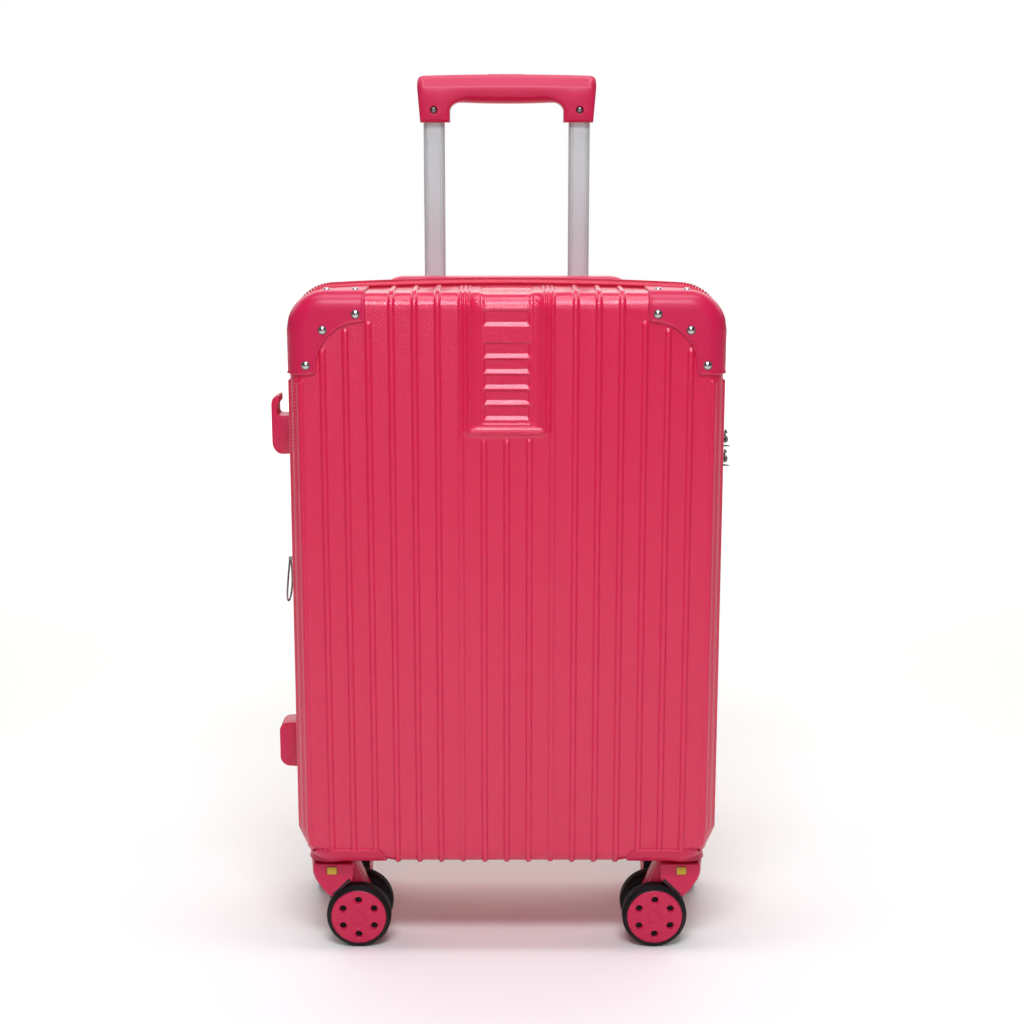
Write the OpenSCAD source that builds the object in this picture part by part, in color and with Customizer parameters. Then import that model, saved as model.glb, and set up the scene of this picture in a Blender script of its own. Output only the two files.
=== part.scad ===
// Cabin suitcase: two ribbed shells joined by a zip band, telescopic handle, four twin-wheel casters.
// X is to the right, Y to the back, Z up. The origin is on the floor under the middle of the case.

/* [Shell] */
// Width of the plain shell, without ribs
shell_w = 356; // [340:1:370]
// Depth of the plain case over both shells
shell_d = 227; // [220:1:250]
// Height of the plain shell's underside above the floor
shell_z0 = 81.5; // [80:0.5:84]
// Height of the plain shell
shell_h = 480.3; // [470:0.1:520]
// Corner radius in the front view
corner_r = 30; // [24:1:36]
// Radius of the edges between the big faces and the sides
edge_r = 14; // [10:1:18]
// Wall thickness of the shells
wall = 2.4; // [2:0.1:3]
// Distance between neighbouring ribs
rib_pitch = 18.75; // [17:0.25:19]
// Width of a rib
rib_w = 4; // [3:0.5:6]
// Height of a rib over the plain shell
rib_h = 1.5; // [1:0.1:2]

/* [Zip band] */
// Rim of the front shell
front_rim = -27; // [-30:1:-24]
// Plane where the main zip parts the two halves
zip_y = -12; // [-13:0.5:-11]
// Rim of the rear shell
rear_rim = 18; // [16:1:20]

/* [Telescopic handle] */
// Distance between the two tubes
tube_gap = 128; // [120:1:134]
// Distance of the tubes behind the middle of the case
tube_y = 90; // [86:1:92]
// Width of the innermost tube
tube_w = 18.6; // [17:0.2:20]
// Thickness of the innermost tube
tube_t = 12; // [11:0.2:13]
// Height of the top of the grip above the floor
grip_top = 738; // [720:1:760]

/* [Casters] */
// Radius of a wheel
wheel_r = 27.8; // [26:0.1:28]
// Width of one wheel
wheel_w = 17; // [15:0.5:18]
// Distance of the swivel axis from the middle of the case, sideways
caster_x = 151.5; // [140:0.5:152]
// Distance of the swivel axis from the middle of the case, front to back
caster_y = 76; // [70:1:78]
// Distance from the swivel axis to the axle
trail = 24; // [20:1:26]

/* [Hidden] */
$fn = 64;

// Colours
shell_col = [0.86, 0.16, 0.33];
guard_col = [0.87, 0.20, 0.38];
fabric_col = [0.80, 0.12, 0.28];
lining_col = [0.30, 0.31, 0.34];
chrome_col = [0.80, 0.80, 0.82];
alu_col = [0.72, 0.73, 0.75];
black_col = [0.05, 0.05, 0.05];

// Shell heights and places
mid_z = shell_z0 + shell_h / 2;
top_z = shell_z0 + shell_h;
half_w = shell_w / 2;
half_d = shell_d / 2;
big = 800;
ribs_each_side = 9;
side_ribs = 4;
first_side_rib = 12;

// Ladder ornament on the front face
ladder_top = top_z - 14.3;
ladder_half_w = 19.3;
step_pitch = 12.6;
step_h = 10.4;
step_depth = 1.2;
short_rib_top = 443;
bar_z = 451;
bar_half_w = 29.2;

// Corner guards
guard_t = 1.9;
guard_end_x = 114.6;
guard_end_z = 495.5;
guard_arc_x = 118.5;
guard_arc_z = 501;
guard_arc_r = 36.5;
guard_face_x = guard_arc_x + guard_arc_r;
guard_face_z = guard_arc_z + guard_arc_r;
rivet_r = 3.6;
rivet_h = 1.6;
rivet_ball_r = (rivet_r * rivet_r + rivet_h * rivet_h) / (2 * rivet_h);
front_rivet_xz = [[122.5, 544.5], [149.5, 531.8], [163.6, 503.6]];
top_rivet_x = [123.5, 147];
edge_rivet_in = 16;

// Wheel housings
housing_t = 1.9;
housing_z = 94.5;
housing_end_x = 103;
housing_lip_r = 11;
housing_back = 40;
seat_z = 70.6;
seat_r = 18.5;
stem_r = 5;
stem_clear = 0.06;
stem_top = seat_z + 8;

// Casters
fork_top = 70;
fork_r = 17.5;
fork_z = 55;
fork_half_w = 23.5;
web_half_w = 7;
wheel_gap = 16;
tyre_clear = 1.5;
axle_r = 3;
axle_clear = 0.05;
axle_half = 22;
tyre_round = 2.5;
cap_r = 23.9;
cap_t = 2.8;
cap_hole_r = 3;
cap_hole_at = 15.5;
cap_holes = 6;
cap_ring_r = 5.9;

// Tubes
tube_wall = 1;
tube_slip = 0.3;
stage_step = tube_wall + tube_slip;
tube_bottom = shell_z0 + wall + 6;
tube_top = top_z - 1.5;
inner_bottom = 225;
leg_bottom = 697;
inner_top = leg_bottom + 16;
groove_w = 1.2;
groove_at = 5.9;
groove_depth = 0.5;

// Grip
grip_w = 157;
grip_under = 713.5;
leg_x0 = 50;
leg_x1 = 76;
grip_half_t = 13;
grip_chamfer_z = 10.5;
grip_crown_half_t = 8;
grip_corner = 5;
screw_z = 707.5;
screw_r = 3.2;
screw_hole_r = 3.3;
shank_r = 1.4;
button_w = 32;
button_t = 11;
button_h = 5.5;
button_proud = 0.3;
button_travel = 4;
button_fit = 0.3;

// Carry handles
carry_l = 199;
carry_w = 24;
carry_t = 3.8;
carry_gap = 0.5;
post_at = 90;
post_r = 3;
post_l = 22;
post_fit = 0.08;
socket_r = 6;
socket_l = 16;
top_carry_y = 36;
side_carry_y = 62;
side_carry_z = mid_z;

// Lock
lock_y0 = 19;
lock_y1 = 47;
lock_z0 = 380;
lock_z1 = 446;
lock_x = half_w + 9;
dial_r = 5.5;
dial_t = 4;
dial_z = [390, 396, 402];
dial_y = 38;
dial_x = half_w + 6;
dial_pin_r = 1;

// Zip band: how far each layer stands over the plain shell
pipe_out = 3.4;
tape_out = 2.8;
teeth_out = 5.2;
band_in = -1.2;
zip_gap = 0.3;
tooth_w = 1.2;
pipe_w = 3;
expand_y = 4.5;
slider_t = 2.6;
slider_z = [430, 413];
slider_x = half_w + teeth_out + 0.4;
lock_reach = 5.4;
loop_slider_x = -half_w - pipe_out - 0.4;
loop_reach = 9;
loop_z = 322;
loop_w = 11;
loop_l = 38;
bar_r = 0.6;
eye_r = 1.9;
eye_t = 2.4;

// Side feet on the left of the front shell
foot_x = -194;
foot_y = -65;
foot_d = 26;
hook_foot_z = [423.5, 475];
plain_foot_z = [153.5, 197.5];

// Fabric inside
lining_out = -(wall + 0.2);
lining_t = 1;
tunnel_x = 86;
tunnel_y = 74;
tunnel_t = 1.2;
panel_t = 1.6;
strap_w = 25;
strap_t = 1.6;
strap_y = 26;

// Rounded rectangle made of true arcs, centred on the origin
module rrect(w, h, r) {
    square([w - 2 * r, h], center = true);
    square([w, h - 2 * r], center = true);
    for (sx = [-1, 1])
        for (sy = [-1, 1])
            translate([sx * (w / 2 - r), sy * (h / 2 - r)])
                circle(r = r);
}

// Box between two corners
module span(lo, hi) {
    translate(lo)
        cube([hi[0] - lo[0], hi[1] - lo[1], hi[2] - lo[2]]);
}

// Extrudes a front-view outline from y0 to y1
module from_front(y0, y1) {
    translate([0, y1, 0])
        rotate([90, 0, 0])
            linear_extrude(height = y1 - y0)
                children();
}

// Extrudes a side-view outline (Y, Z) from x0 to x1
module from_side(x0, x1) {
    translate([x0, 0, 0])
        rotate([90, 0, 90])
            linear_extrude(height = x1 - x0)
                children();
}

// Three rounded prisms whose common part is the case, grown by g on every side
module front_prism(g) {
    translate([0, 0, mid_z])
        from_front(-half_d - g, half_d + g)
            rrect(shell_w + 2 * g, shell_h + 2 * g, corner_r + g);
}

module plan_prism(g) {
    translate([0, 0, shell_z0 - g])
        linear_extrude(height = shell_h + 2 * g)
            rrect(shell_w + 2 * g, shell_d + 2 * g, edge_r + g);
}

module side_prism(g) {
    translate([0, 0, mid_z])
        from_side(-half_w - g, half_w + g)
            rrect(shell_d + 2 * g, shell_h + 2 * g, edge_r + g);
}

// The case as one solid, grown by g on every side
module form(g) {
    intersection() {
        front_prism(g);
        plan_prism(g);
        side_prism(g);
    }
}

// What the children hold of a skin of thickness g on the case
module skin(g) {
    difference() {
        intersection() {
            children();
            front_prism(g);
            plan_prism(g);
            side_prism(g);
        }
        form(0);
    }
}

// The front half or the rear half of space, up to its rim
module front_half() {
    span([-big, -big, -big], [big, front_rim, big]);
}

module rear_half() {
    span([-big, rear_rim, -big], [big, big, big]);
}

// Repeats a part of the right-hand side on the left
module both_sides() {
    children();
    mirror([1, 0, 0])
        children();
}

// Front-view outline of what a guard leaves free inside its corner box
module guard_cutout() {
    translate([guard_end_x - 1, guard_end_z - 1])
        square([guard_face_x - guard_end_x + 1, guard_arc_z - guard_end_z + 1]);
    translate([guard_end_x - 1, guard_end_z - 1])
        square([guard_arc_x - guard_end_x + 1, guard_face_z - guard_end_z + 1]);
    translate([guard_arc_x, guard_arc_z])
        circle(r = guard_arc_r);
}

// Region of the right-hand top corner guard between two planes
module guard_region(y0, y1) {
    difference() {
        span([guard_end_x, y0, guard_end_z], [big, y1, big]);
        from_front(y0 - 1, y1 + 1)
            guard_cutout();
    }
}

// Region of the right-hand wheel housing between two planes; its lip ends in a round corner
module housing_region(y0, y1) {
    r = housing_lip_r;
    difference() {
        span([housing_end_x, y0, 0], [big, y1, housing_z]);
        from_front(y0 - 1, y1 + 1)
            difference() {
                translate([housing_end_x - 1, housing_z - r])
                    square(r + 1);
                translate([housing_end_x + r, housing_z - r])
                    circle(r = r);
            }
    }
}

// Places that stay smooth for the handles, the bezel and the lock
module smooth_zones() {
    span([-110, rear_rim - 1, top_z - 5], [110, 108, big]);
    span([half_w - 5, side_carry_y - 16, side_carry_z - 110], [big, side_carry_y + 16, side_carry_z + 110]);
    span([half_w - 5, lock_y0 - 2, lock_z0 - 4], [big, lock_y1 + 2, lock_z1 + 4]);
    for (z = [hook_foot_z, plain_foot_z])
        span([-big, foot_y - foot_d / 2 - 2, z[0] - 4], [-half_w + 5, foot_y + foot_d / 2 + 2, z[1] + 4]);
}

// Slabs that cut the ribs out of the grown form; the front face keeps room for the ladder
module rib_slabs(front) {
    for (i = [-ribs_each_side:ribs_each_side]) {
        short = front && abs(i) < 2;
        span([i * rib_pitch - rib_w / 2, -big, 0], [i * rib_pitch + rib_w / 2, big, short ? short_rib_top : big]);
    }
    for (i = [0:side_ribs]) {
        y = (front ? -1 : 1) * (half_d - first_side_rib - i * rib_pitch);
        for (side = [-1, 1])
            translate([side * big / 2, y, mid_z])
                cube([big - 2 * (half_w - 8), rib_w, shell_h - 2 * corner_r], center = true);
    }
}

module ribs(front) {
    difference() {
        intersection() {
            form(rib_h);
            rib_slabs(front);
        }
        both_sides() {
            guard_region(-big, big);
            housing_region(-big, big);
        }
        smooth_zones();
    }
}

// Beads round the ladder ornament
module ladder_beads() {
    w = 1.8;
    intersection() {
        form(rib_h);
        union() {
            for (side = [-1, 1])
                for (x = [30.6, 34.2])
                    span([side * x - w / 2, -big, bar_z], [side * x + w / 2, 0, big]);
            span([-bar_half_w, -big, bar_z - 2], [bar_half_w, -half_d + 5, bar_z + 2]);
        }
    }
}

// Pockets of the ladder ornament: one apart, then five in a row
module ladder_pockets() {
    rows = [0, 2, 3, 4, 5, 6];
    for (row = rows)
        translate([0, -half_d, ladder_top - row * step_pitch - step_pitch / 2])
            cube([2 * ladder_half_w, 2 * step_depth, step_h], center = true);
}

// Holes in the shells for the handle posts and the tubes
module post_holes() {
    for (side = [-1, 1]) {
        translate([side * post_at, top_carry_y, top_z - 10])
            cylinder(r = post_r + 0.5, h = 20);
        translate([half_w - 10, side_carry_y, side_carry_z + side * post_at])
            rotate([0, 90, 0])
                cylinder(r = post_r + 0.5, h = 20);
    }
}

module tube_spots() {
    for (side = [-1, 1])
        translate([side * tube_gap / 2, tube_y, 0])
            children();
}

module front_shell() {
    color(shell_col)
        intersection() {
            difference() {
                union() {
                    form(0);
                    ribs(true);
                    ladder_beads();
                }
                form(-wall);
                ladder_pockets();
            }
            front_half();
        }
}

module rear_shell() {
    slot = [tube_w + 4 * stage_step + 0.8, tube_t + 4 * stage_step + 0.8, 20];
    color(shell_col)
        intersection() {
            difference() {
                union() {
                    form(0);
                    ribs(false);
                }
                form(-wall);
                post_holes();
                tube_spots()
                    translate([0, 0, top_z])
                        cube(slot, center = true);
            }
            rear_half();
        }
}

// Guards on the top corners of one shell, between two planes
module corner_guards(y0, y1) {
    both_sides()
        skin(guard_t)
            guard_region(y0, y1);
}

module front_corner_guards() {
    color(guard_col)
        corner_guards(-big, front_rim);
}

module rear_corner_guards() {
    color(guard_col)
        corner_guards(rear_rim, big);
}

// Dome rivet with its base on the XY plane
module rivet() {
    intersection() {
        translate([0, 0, rivet_h - rivet_ball_r])
            sphere(r = rivet_ball_r);
        cylinder(r = rivet_r + 1, h = rivet_h + 1);
    }
}

// All rivets of the two guards of one shell; face is -1 for the front, 1 for the rear
module rivets(face) {
    edge_y = face * (half_d - edge_rivet_in);
    for (side = [-1, 1]) {
        for (p = front_rivet_xz)
            translate([side * p[0], face * (half_d + guard_t), p[1]])
                rotate([-face * 90, 0, 0])
                    rivet();
        for (x = top_rivet_x)
            translate([side * x, edge_y, top_z + guard_t])
                rivet();
    }
}

module front_rivets() {
    color(chrome_col)
        rivets(-1);
}

module rear_rivets() {
    color(chrome_col)
        rivets(1);
}

// Wheel housings of one shell: a skin round the bottom corner and a round seat for the swivel
module wheel_housings(face) {
    y0 = face < 0 ? -big : housing_back;
    y1 = face < 0 ? -housing_back : big;
    both_sides()
        difference() {
            union() {
                skin(housing_t)
                    housing_region(y0, y1);
                translate([caster_x, face * caster_y, seat_z])
                    cylinder(r = seat_r, h = shell_z0 - seat_z);
            }
            translate([caster_x, face * caster_y, seat_z - 1])
                cylinder(r = stem_r + stem_clear, h = stem_top + 0.3 - seat_z + 1);
        }
}

module front_wheel_housings() {
    color(guard_col)
        wheel_housings(-1);
}

module rear_wheel_housings() {
    color(guard_col)
        wheel_housings(1);
}

// Ring round the case between two planes, from one offset of the plain shell to another
module band(y0, y1, inner, outer) {
    translate([0, 0, mid_z])
        from_front(y0, y1)
            difference() {
                rrect(shell_w + 2 * outer, shell_h + 2 * outer, corner_r + outer);
                rrect(shell_w + 2 * inner, shell_h + 2 * inner, corner_r + inner);
            }
}

module front_zip() {
    teeth_end = zip_y - zip_gap;
    color(fabric_col) {
        band(front_rim, front_rim + pipe_w, band_in, pipe_out);
        band(front_rim + pipe_w, teeth_end - tooth_w, band_in, tape_out);
        band(teeth_end - tooth_w, teeth_end, band_in, teeth_out);
    }
}

module rear_zip() {
    teeth_start = zip_y + zip_gap;
    color(fabric_col) {
        band(teeth_start, teeth_start + tooth_w, band_in, teeth_out);
        band(teeth_start + tooth_w, expand_y - tooth_w, band_in, tape_out);
        band(expand_y - tooth_w, expand_y + tooth_w, band_in, pipe_out);
        band(expand_y + tooth_w, rear_rim - pipe_w, band_in, tape_out);
        band(rear_rim - pipe_w, rear_rim, band_in, pipe_out);
    }
}

// Zip slider lying on the YZ plane, with a bar along Z that stands reach off its foot
module slider(reach) {
    span([0, -4.2, -4.5], [slider_t, 4.2, 4.5]);
    for (side = [-1, 1])
        translate([0, -1.2, side * (eye_t / 2 + 0.9) - 0.6])
            cube([reach + 1.2, 2.4, 1.2]);
    translate([reach, 0, -eye_t / 2 - 1])
        cylinder(r = bar_r, h = eye_t + 2);
}

module zip_sliders() {
    color(chrome_col) {
        for (z = slider_z)
            translate([slider_x, zip_y, z])
                slider(lock_reach);
        translate([loop_slider_x, expand_y, loop_z])
            rotate([90, 0, 180])
                slider(loop_reach);
    }
}

// Flat pull lying along +Y over the lock; its eye turns on the bar of a slider
module lock_pull(z) {
    color(chrome_col)
        translate([slider_x + lock_reach, zip_y, z])
            difference() {
                union() {
                    translate([0, 0, -eye_t / 2])
                        cylinder(r = eye_r, h = eye_t);
                    span([-0.7, 0, -eye_t / 2], [0.7, 8, eye_t / 2]);
                    span([-0.7, 7, -4.5], [0.7, 34, 4.5]);
                }
                translate([0, 0, -eye_t])
                    cylinder(r = bar_r + 0.3, h = 2 * eye_t);
            }
}

// Wire loop that hangs from the slider of the expansion zip
module expansion_zip_pull() {
    color(chrome_col)
        translate([loop_slider_x - loop_reach, expand_y, loop_z])
            difference() {
                union() {
                    translate([0, eye_t / 2, 0])
                        rotate([90, 0, 0])
                            cylinder(r = eye_r, h = eye_t);
                    span([-1, -eye_t / 2, -3], [1, eye_t / 2, -1.4]);
                    from_side(-1, 1)
                        translate([0, -loop_l / 2 - 2])
                            difference() {
                                rrect(loop_w, loop_l, loop_w / 2 - 0.1);
                                rrect(loop_w - 3.6, loop_l - 3.6, loop_w / 2 - 1.9);
                            }
                }
                translate([0, eye_t, 0])
                    rotate([90, 0, 0])
                        cylinder(r = bar_r + 0.3, h = 2 * eye_t);
            }
}

// Hooked foot: a flat block with a slot behind its tip
module hook_foot() {
    z0 = hook_foot_z[0];
    z1 = hook_foot_z[1];
    wall_x = -half_w - 0.2;
    color(guard_col) {
        from_front(foot_y - foot_d / 2, foot_y + foot_d / 2)
            polygon([[wall_x - 1, z0 + 3], [foot_x + 4, z0 + 4], [foot_x, z0 + 8], [foot_x, z1 - 5],
                     [foot_x + 3, z1 - 1], [wall_x - 8.5, z1], [wall_x - 8.5, z0 + 46],
                     [wall_x - 10.5, z0 + 44], [wall_x - 9, z0 + 36], [wall_x - 1, z0 + 35]]);
        span([wall_x - 2, foot_y - foot_d / 2 - 1.5, z0], [wall_x, foot_y + foot_d / 2 + 1.5, z0 + 37]);
    }
}

module plain_foot() {
    z0 = plain_foot_z[0];
    z1 = plain_foot_z[1];
    wall_x = -half_w - 0.2;
    color(guard_col) {
        from_front(foot_y - foot_d / 2, foot_y + foot_d / 2)
            polygon([[wall_x - 2, z0 + 2], [foot_x + 3, z0 + 3], [foot_x, z0 + 7],
                     [foot_x, z1 - 6], [foot_x + 3, z1 - 2], [wall_x - 2, z1 - 1]]);
        span([wall_x - 2, foot_y - foot_d / 2 - 1.5, z0], [wall_x, foot_y + foot_d / 2 + 1.5, z1]);
    }
}

module front_lining() {
    color(lining_col)
        intersection() {
            difference() {
                form(lining_out);
                form(lining_out - lining_t);
            }
            front_half();
        }
}

// Outline of the tunnel that covers the tubes inside the rear half
module tunnel(t) {
    span([-tunnel_x + t, tunnel_y + t, 0], [tunnel_x - t, big, big]);
}

module rear_lining() {
    color(lining_col)
        intersection() {
            difference() {
                union() {
                    difference() {
                        form(lining_out);
                        form(lining_out - lining_t);
                    }
                    tunnel(0);
                }
                tunnel(tunnel_t);
                for (side = [-1, 1]) {
                    translate([side * post_at, top_carry_y, top_z - 25])
                        cylinder(r = socket_r + 0.5, h = 40);
                    translate([half_w - 25, side_carry_y, side_carry_z + side * post_at])
                        rotate([0, 90, 0])
                            cylinder(r = socket_r + 0.5, h = 40);
                }
            }
            form(lining_out);
            rear_half();
        }
}

module divider_panel() {
    inset = wall + lining_t + 1.2;
    color(lining_col)
        translate([0, 0, mid_z])
            from_front(front_rim - 1 - panel_t, front_rim - 1)
                rrect(shell_w - 2 * inset, shell_h - 2 * inset, corner_r - inset);
}

// Four straps run from the buckle in the middle to the corners of the rear half
module packing_straps() {
    reach = [half_w - 18, 170];
    length = norm(reach);
    start = 22;
    color(black_col)
        translate([0, strap_y, mid_z]) {
            for (sx = [-1, 1])
                for (sz = [-1, 1])
                    rotate([0, -sx * sz * atan2(reach[1], reach[0]), 0])
                        translate([sx * (start + length) / 2, 0, 0])
                            cube([length - start, strap_t, strap_w], center = true);
            cube([42, 6, 34], center = true);
        }
}

// One tube of the telescopic handle; stage 0 is the innermost
module tube(stage, z0, z1) {
    w = tube_w + 2 * stage * stage_step;
    t = tube_t + 2 * stage * stage_step;
    translate([0, 0, z0])
        linear_extrude(height = z1 - z0)
            difference() {
                square([w, t], center = true);
                square([w - 2 * tube_wall, t - 2 * tube_wall], center = true);
                if (stage == 0)
                    for (sx = [-1, 1])
                        for (sy = [-1, 1])
                            translate([sx * groove_at, sy * t / 2])
                                square([groove_w, 2 * groove_depth], center = true);
            }
}

module outer_tubes() {
    color(alu_col)
        tube_spots()
            tube(2, tube_bottom, tube_top);
}

module middle_tubes() {
    color(alu_col)
        tube_spots()
            tube(1, tube_bottom + 2, tube_top + 1.8);
}

// The screw holes go through the front wall of each tube
module inner_tubes() {
    color(alu_col)
        difference() {
            tube_spots()
                tube(0, inner_bottom, inner_top);
            screw_holes(shank_r + 0.1);
        }
}

module screw_holes(r) {
    for (side = [-1, 1])
        translate([side * tube_gap / 2, tube_y, screw_z])
            rotate([90, 0, 0])
                cylinder(r = r, h = grip_half_t + 1);
}

module trolley_bezel() {
    t = 1;
    hole = [tube_w + 2 * stage_step + 0.6, tube_t + 2 * stage_step + 0.6];
    color(guard_col)
        translate([0, tube_y, top_z])
            linear_extrude(height = t)
                difference() {
                    rrect(180, 28, 10);
                    for (side = [-1, 1])
                        translate([side * tube_gap / 2, 0])
                            square(hole, center = true);
                }
}

// Bracket that holds the feet of the outer tubes on the bottom of the rear shell
module tube_bracket() {
    w = tube_w + 4 * stage_step;
    t = tube_t + 4 * stage_step;
    z0 = shell_z0 + wall + 1.6;
    color(black_col)
        difference() {
            span([-tube_gap / 2 - 16, tube_y - 12, z0], [tube_gap / 2 + 16, tube_y + 12, tube_bottom + 14]);
            tube_spots()
                translate([0, 0, tube_bottom + 10])
                    cube([w + 0.1, t + 0.1, 20], center = true);
            span([-tube_gap / 2 + 16, tube_y - 15, z0 + 5], [tube_gap / 2 - 16, tube_y + 15, big]);
        }
}

module grip() {
    socket = [tube_w + 0.2, tube_t + 0.2, 2 * (inner_top - leg_bottom) + 0.4];
    color(guard_col)
        difference() {
            intersection() {
                from_front(tube_y - grip_half_t, tube_y + grip_half_t)
                    polygon([[-leg_x1, leg_bottom], [-leg_x0, leg_bottom], [-leg_x0, grip_under],
                             [leg_x0, grip_under], [leg_x0, leg_bottom], [leg_x1, leg_bottom],
                             [grip_w / 2, grip_top - grip_corner], [grip_w / 2 - grip_corner, grip_top],
                             [-grip_w / 2 + grip_corner, grip_top], [-grip_w / 2, grip_top - grip_corner]]);
                translate([0, tube_y, 0])
                    from_side(-big, big)
                        polygon([[-grip_half_t, leg_bottom], [grip_half_t, leg_bottom],
                                 [grip_half_t, grip_top - grip_chamfer_z], [grip_crown_half_t, grip_top],
                                 [-grip_crown_half_t, grip_top], [-grip_half_t, grip_top - grip_chamfer_z]]);
            }
            tube_spots()
                translate([0, 0, leg_bottom])
                    cube(socket, center = true);
            translate([0, tube_y, grip_top])
                cube([button_w + 2 * button_fit, button_t + 2 * button_fit,
                      2 * (button_h + button_travel + 0.5)], center = true);
            screw_holes(shank_r + 0.1);
            for (side = [-1, 1])
                translate([side * tube_gap / 2, tube_y - grip_half_t + 2.2, screw_z])
                    rotate([90, 0, 0])
                        cylinder(r = screw_hole_r, h = 5);
        }
}

module grip_screws() {
    color([0.15, 0.15, 0.16])
        for (side = [-1, 1])
            translate([side * tube_gap / 2, tube_y - grip_half_t + 2.2, screw_z])
                difference() {
                    union() {
                        rotate([90, 0, 0])
                            cylinder(r = screw_r, h = 1.6);
                        rotate([-90, 0, 0])
                            cylinder(r = shank_r, h = 7);
                    }
                    for (a = [0, 90])
                        translate([0, -1.6, 0])
                            rotate([0, a, 0])
                                cube([3.6, 1.6, 0.8], center = true);
                }
}

module grip_button() {
    color(guard_col)
        translate([-button_w / 2, tube_y - button_t / 2, grip_top + button_proud - button_h])
            cube([button_w, button_t, button_h]);
}

// Flat carry handle along X with its two posts, standing on the XY plane
module carry_handle() {
    end_slope = 2;
    from_front(-carry_w / 2, carry_w / 2)
        polygon([[-carry_l / 2, carry_gap], [carry_l / 2, carry_gap],
                 [carry_l / 2 - end_slope, carry_gap + carry_t], [-carry_l / 2 + end_slope, carry_gap + carry_t]]);
    for (side = [-1, 1])
        translate([side * post_at, 0, carry_gap - post_l])
            cylinder(r = post_r, h = post_l);
}

module carry_sockets() {
    for (side = [-1, 1])
        translate([side * post_at, 0, -wall - 0.2 - socket_l])
            difference() {
                cylinder(r = socket_r, h = socket_l);
                translate([0, 0, -1])
                    cylinder(r = post_r + post_fit, h = socket_l + 2);
            }
}

module at_top() {
    translate([0, top_carry_y, top_z])
        children();
}

module at_side() {
    translate([half_w, side_carry_y, side_carry_z])
        rotate([0, 90, 0])
            children();
}

module top_handle() {
    color(guard_col)
        at_top()
            carry_handle();
}

module side_handle() {
    color(guard_col)
        at_side()
            carry_handle();
}

module handle_sockets() {
    color(black_col) {
        at_top()
            carry_sockets();
        at_side()
            carry_sockets();
    }
}

// Lock with three dial slots, a pin for the dials and a groove for the button
module lock_body() {
    x0 = half_w + 0.2;
    color(black_col) {
        difference() {
            span([x0, lock_y0, lock_z0], [lock_x, lock_y1, lock_z1]);
            for (z = dial_z)
                translate([dial_x, dial_y, z])
                    cube([2 * dial_r + 1, 2 * dial_r + 1, dial_t + 0.6], center = true);
            span([lock_x - 3.3, dial_y - 5.3, lock_z1 - 18.3], [lock_x + 1, dial_y + 5.3, lock_z1 - 3.7]);
        }
        translate([dial_x, dial_y, dial_z[0] - dial_t])
            cylinder(r = dial_pin_r, h = dial_z[2] - dial_z[0] + 2 * dial_t);
    }
}

module lock_button() {
    color(chrome_col)
        span([lock_x - 3, dial_y - 5, lock_z1 - 14], [lock_x + 0.8, dial_y + 5, lock_z1 - 4]);
}

module lock_dial(i) {
    color(chrome_col)
        translate([dial_x, dial_y, dial_z[i] - dial_t / 2])
            difference() {
                cylinder(r = dial_r, h = dial_t);
                translate([0, 0, -1])
                    cylinder(r = dial_pin_r + 0.05, h = dial_t + 2);
            }
}

// Puts a caster at a corner of the case and turns its trail to the given angle
module caster_at(side, face, angle) {
    translate([side * caster_x, face * caster_y, 0])
        rotate([0, 0, angle])
            children();
}

// Fork: swivel stem, round top, hood over both wheels and a web between them that holds the axle
module fork() {
    hood_end = trail + 3;
    color(guard_col)
        difference() {
            union() {
                translate([0, 0, fork_top - 0.5])
                    cylinder(r = stem_r, h = stem_top - fork_top + 0.5);
                translate([0, 0, fork_top - 6])
                    cylinder(r = fork_r, h = 6);
                from_front(-fork_half_w, fork_half_w)
                    difference() {
                        union() {
                            translate([0, fork_z])
                                circle(r = fork_r);
                            translate([0, fork_z])
                                square([hood_end, fork_top - 1 - fork_z]);
                        }
                        translate([-big, fork_top - 1])
                            square([2 * big, big]);
                        translate([trail, wheel_r])
                            circle(r = wheel_r + tyre_clear);
                    }
                from_front(-web_half_w, web_half_w) {
                    polygon([[-6, fork_z - 8], [trail - 8, wheel_r - 4], [trail + 8, wheel_r - 3],
                             [trail + 5, fork_top - 3], [0, fork_top - 3]]);
                    translate([trail, wheel_r])
                        circle(r = 9);
                }
            }
            translate([trail, -axle_half - 1, wheel_r])
                rotate([-90, 0, 0])
                    cylinder(r = axle_r + 0.01, h = 2 * axle_half + 2);
        }
}

module axle() {
    color(chrome_col)
        translate([trail, -axle_half, wheel_r])
            rotate([-90, 0, 0])
                cylinder(r = axle_r, h = 2 * axle_half);
}

// Turns a wheel made along +Z so that its outer face looks to -Y or +Y
module wheel_place(out) {
    translate([trail, out * (wheel_gap / 2), wheel_r])
        rotate([-out * 90, 0, 0])
            children();
}

// Black wheel body, from its inner face at z = 0 to its outer face, with a seat for the cap
module tyre() {
    r = tyre_round;
    color(black_col)
        rotate_extrude() {
            difference() {
                union() {
                    translate([axle_r + axle_clear, 0])
                        square([wheel_r - r - axle_r - axle_clear, wheel_w]);
                    translate([wheel_r - r - 1, r])
                        square([r + 1, wheel_w - 2 * r]);
                    for (z = [r, wheel_w - r])
                        translate([wheel_r - r, z])
                            circle(r = r);
                }
                translate([-1, wheel_w - cap_t])
                    square([cap_r + 1, cap_t + 1]);
            }
        }
}

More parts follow.
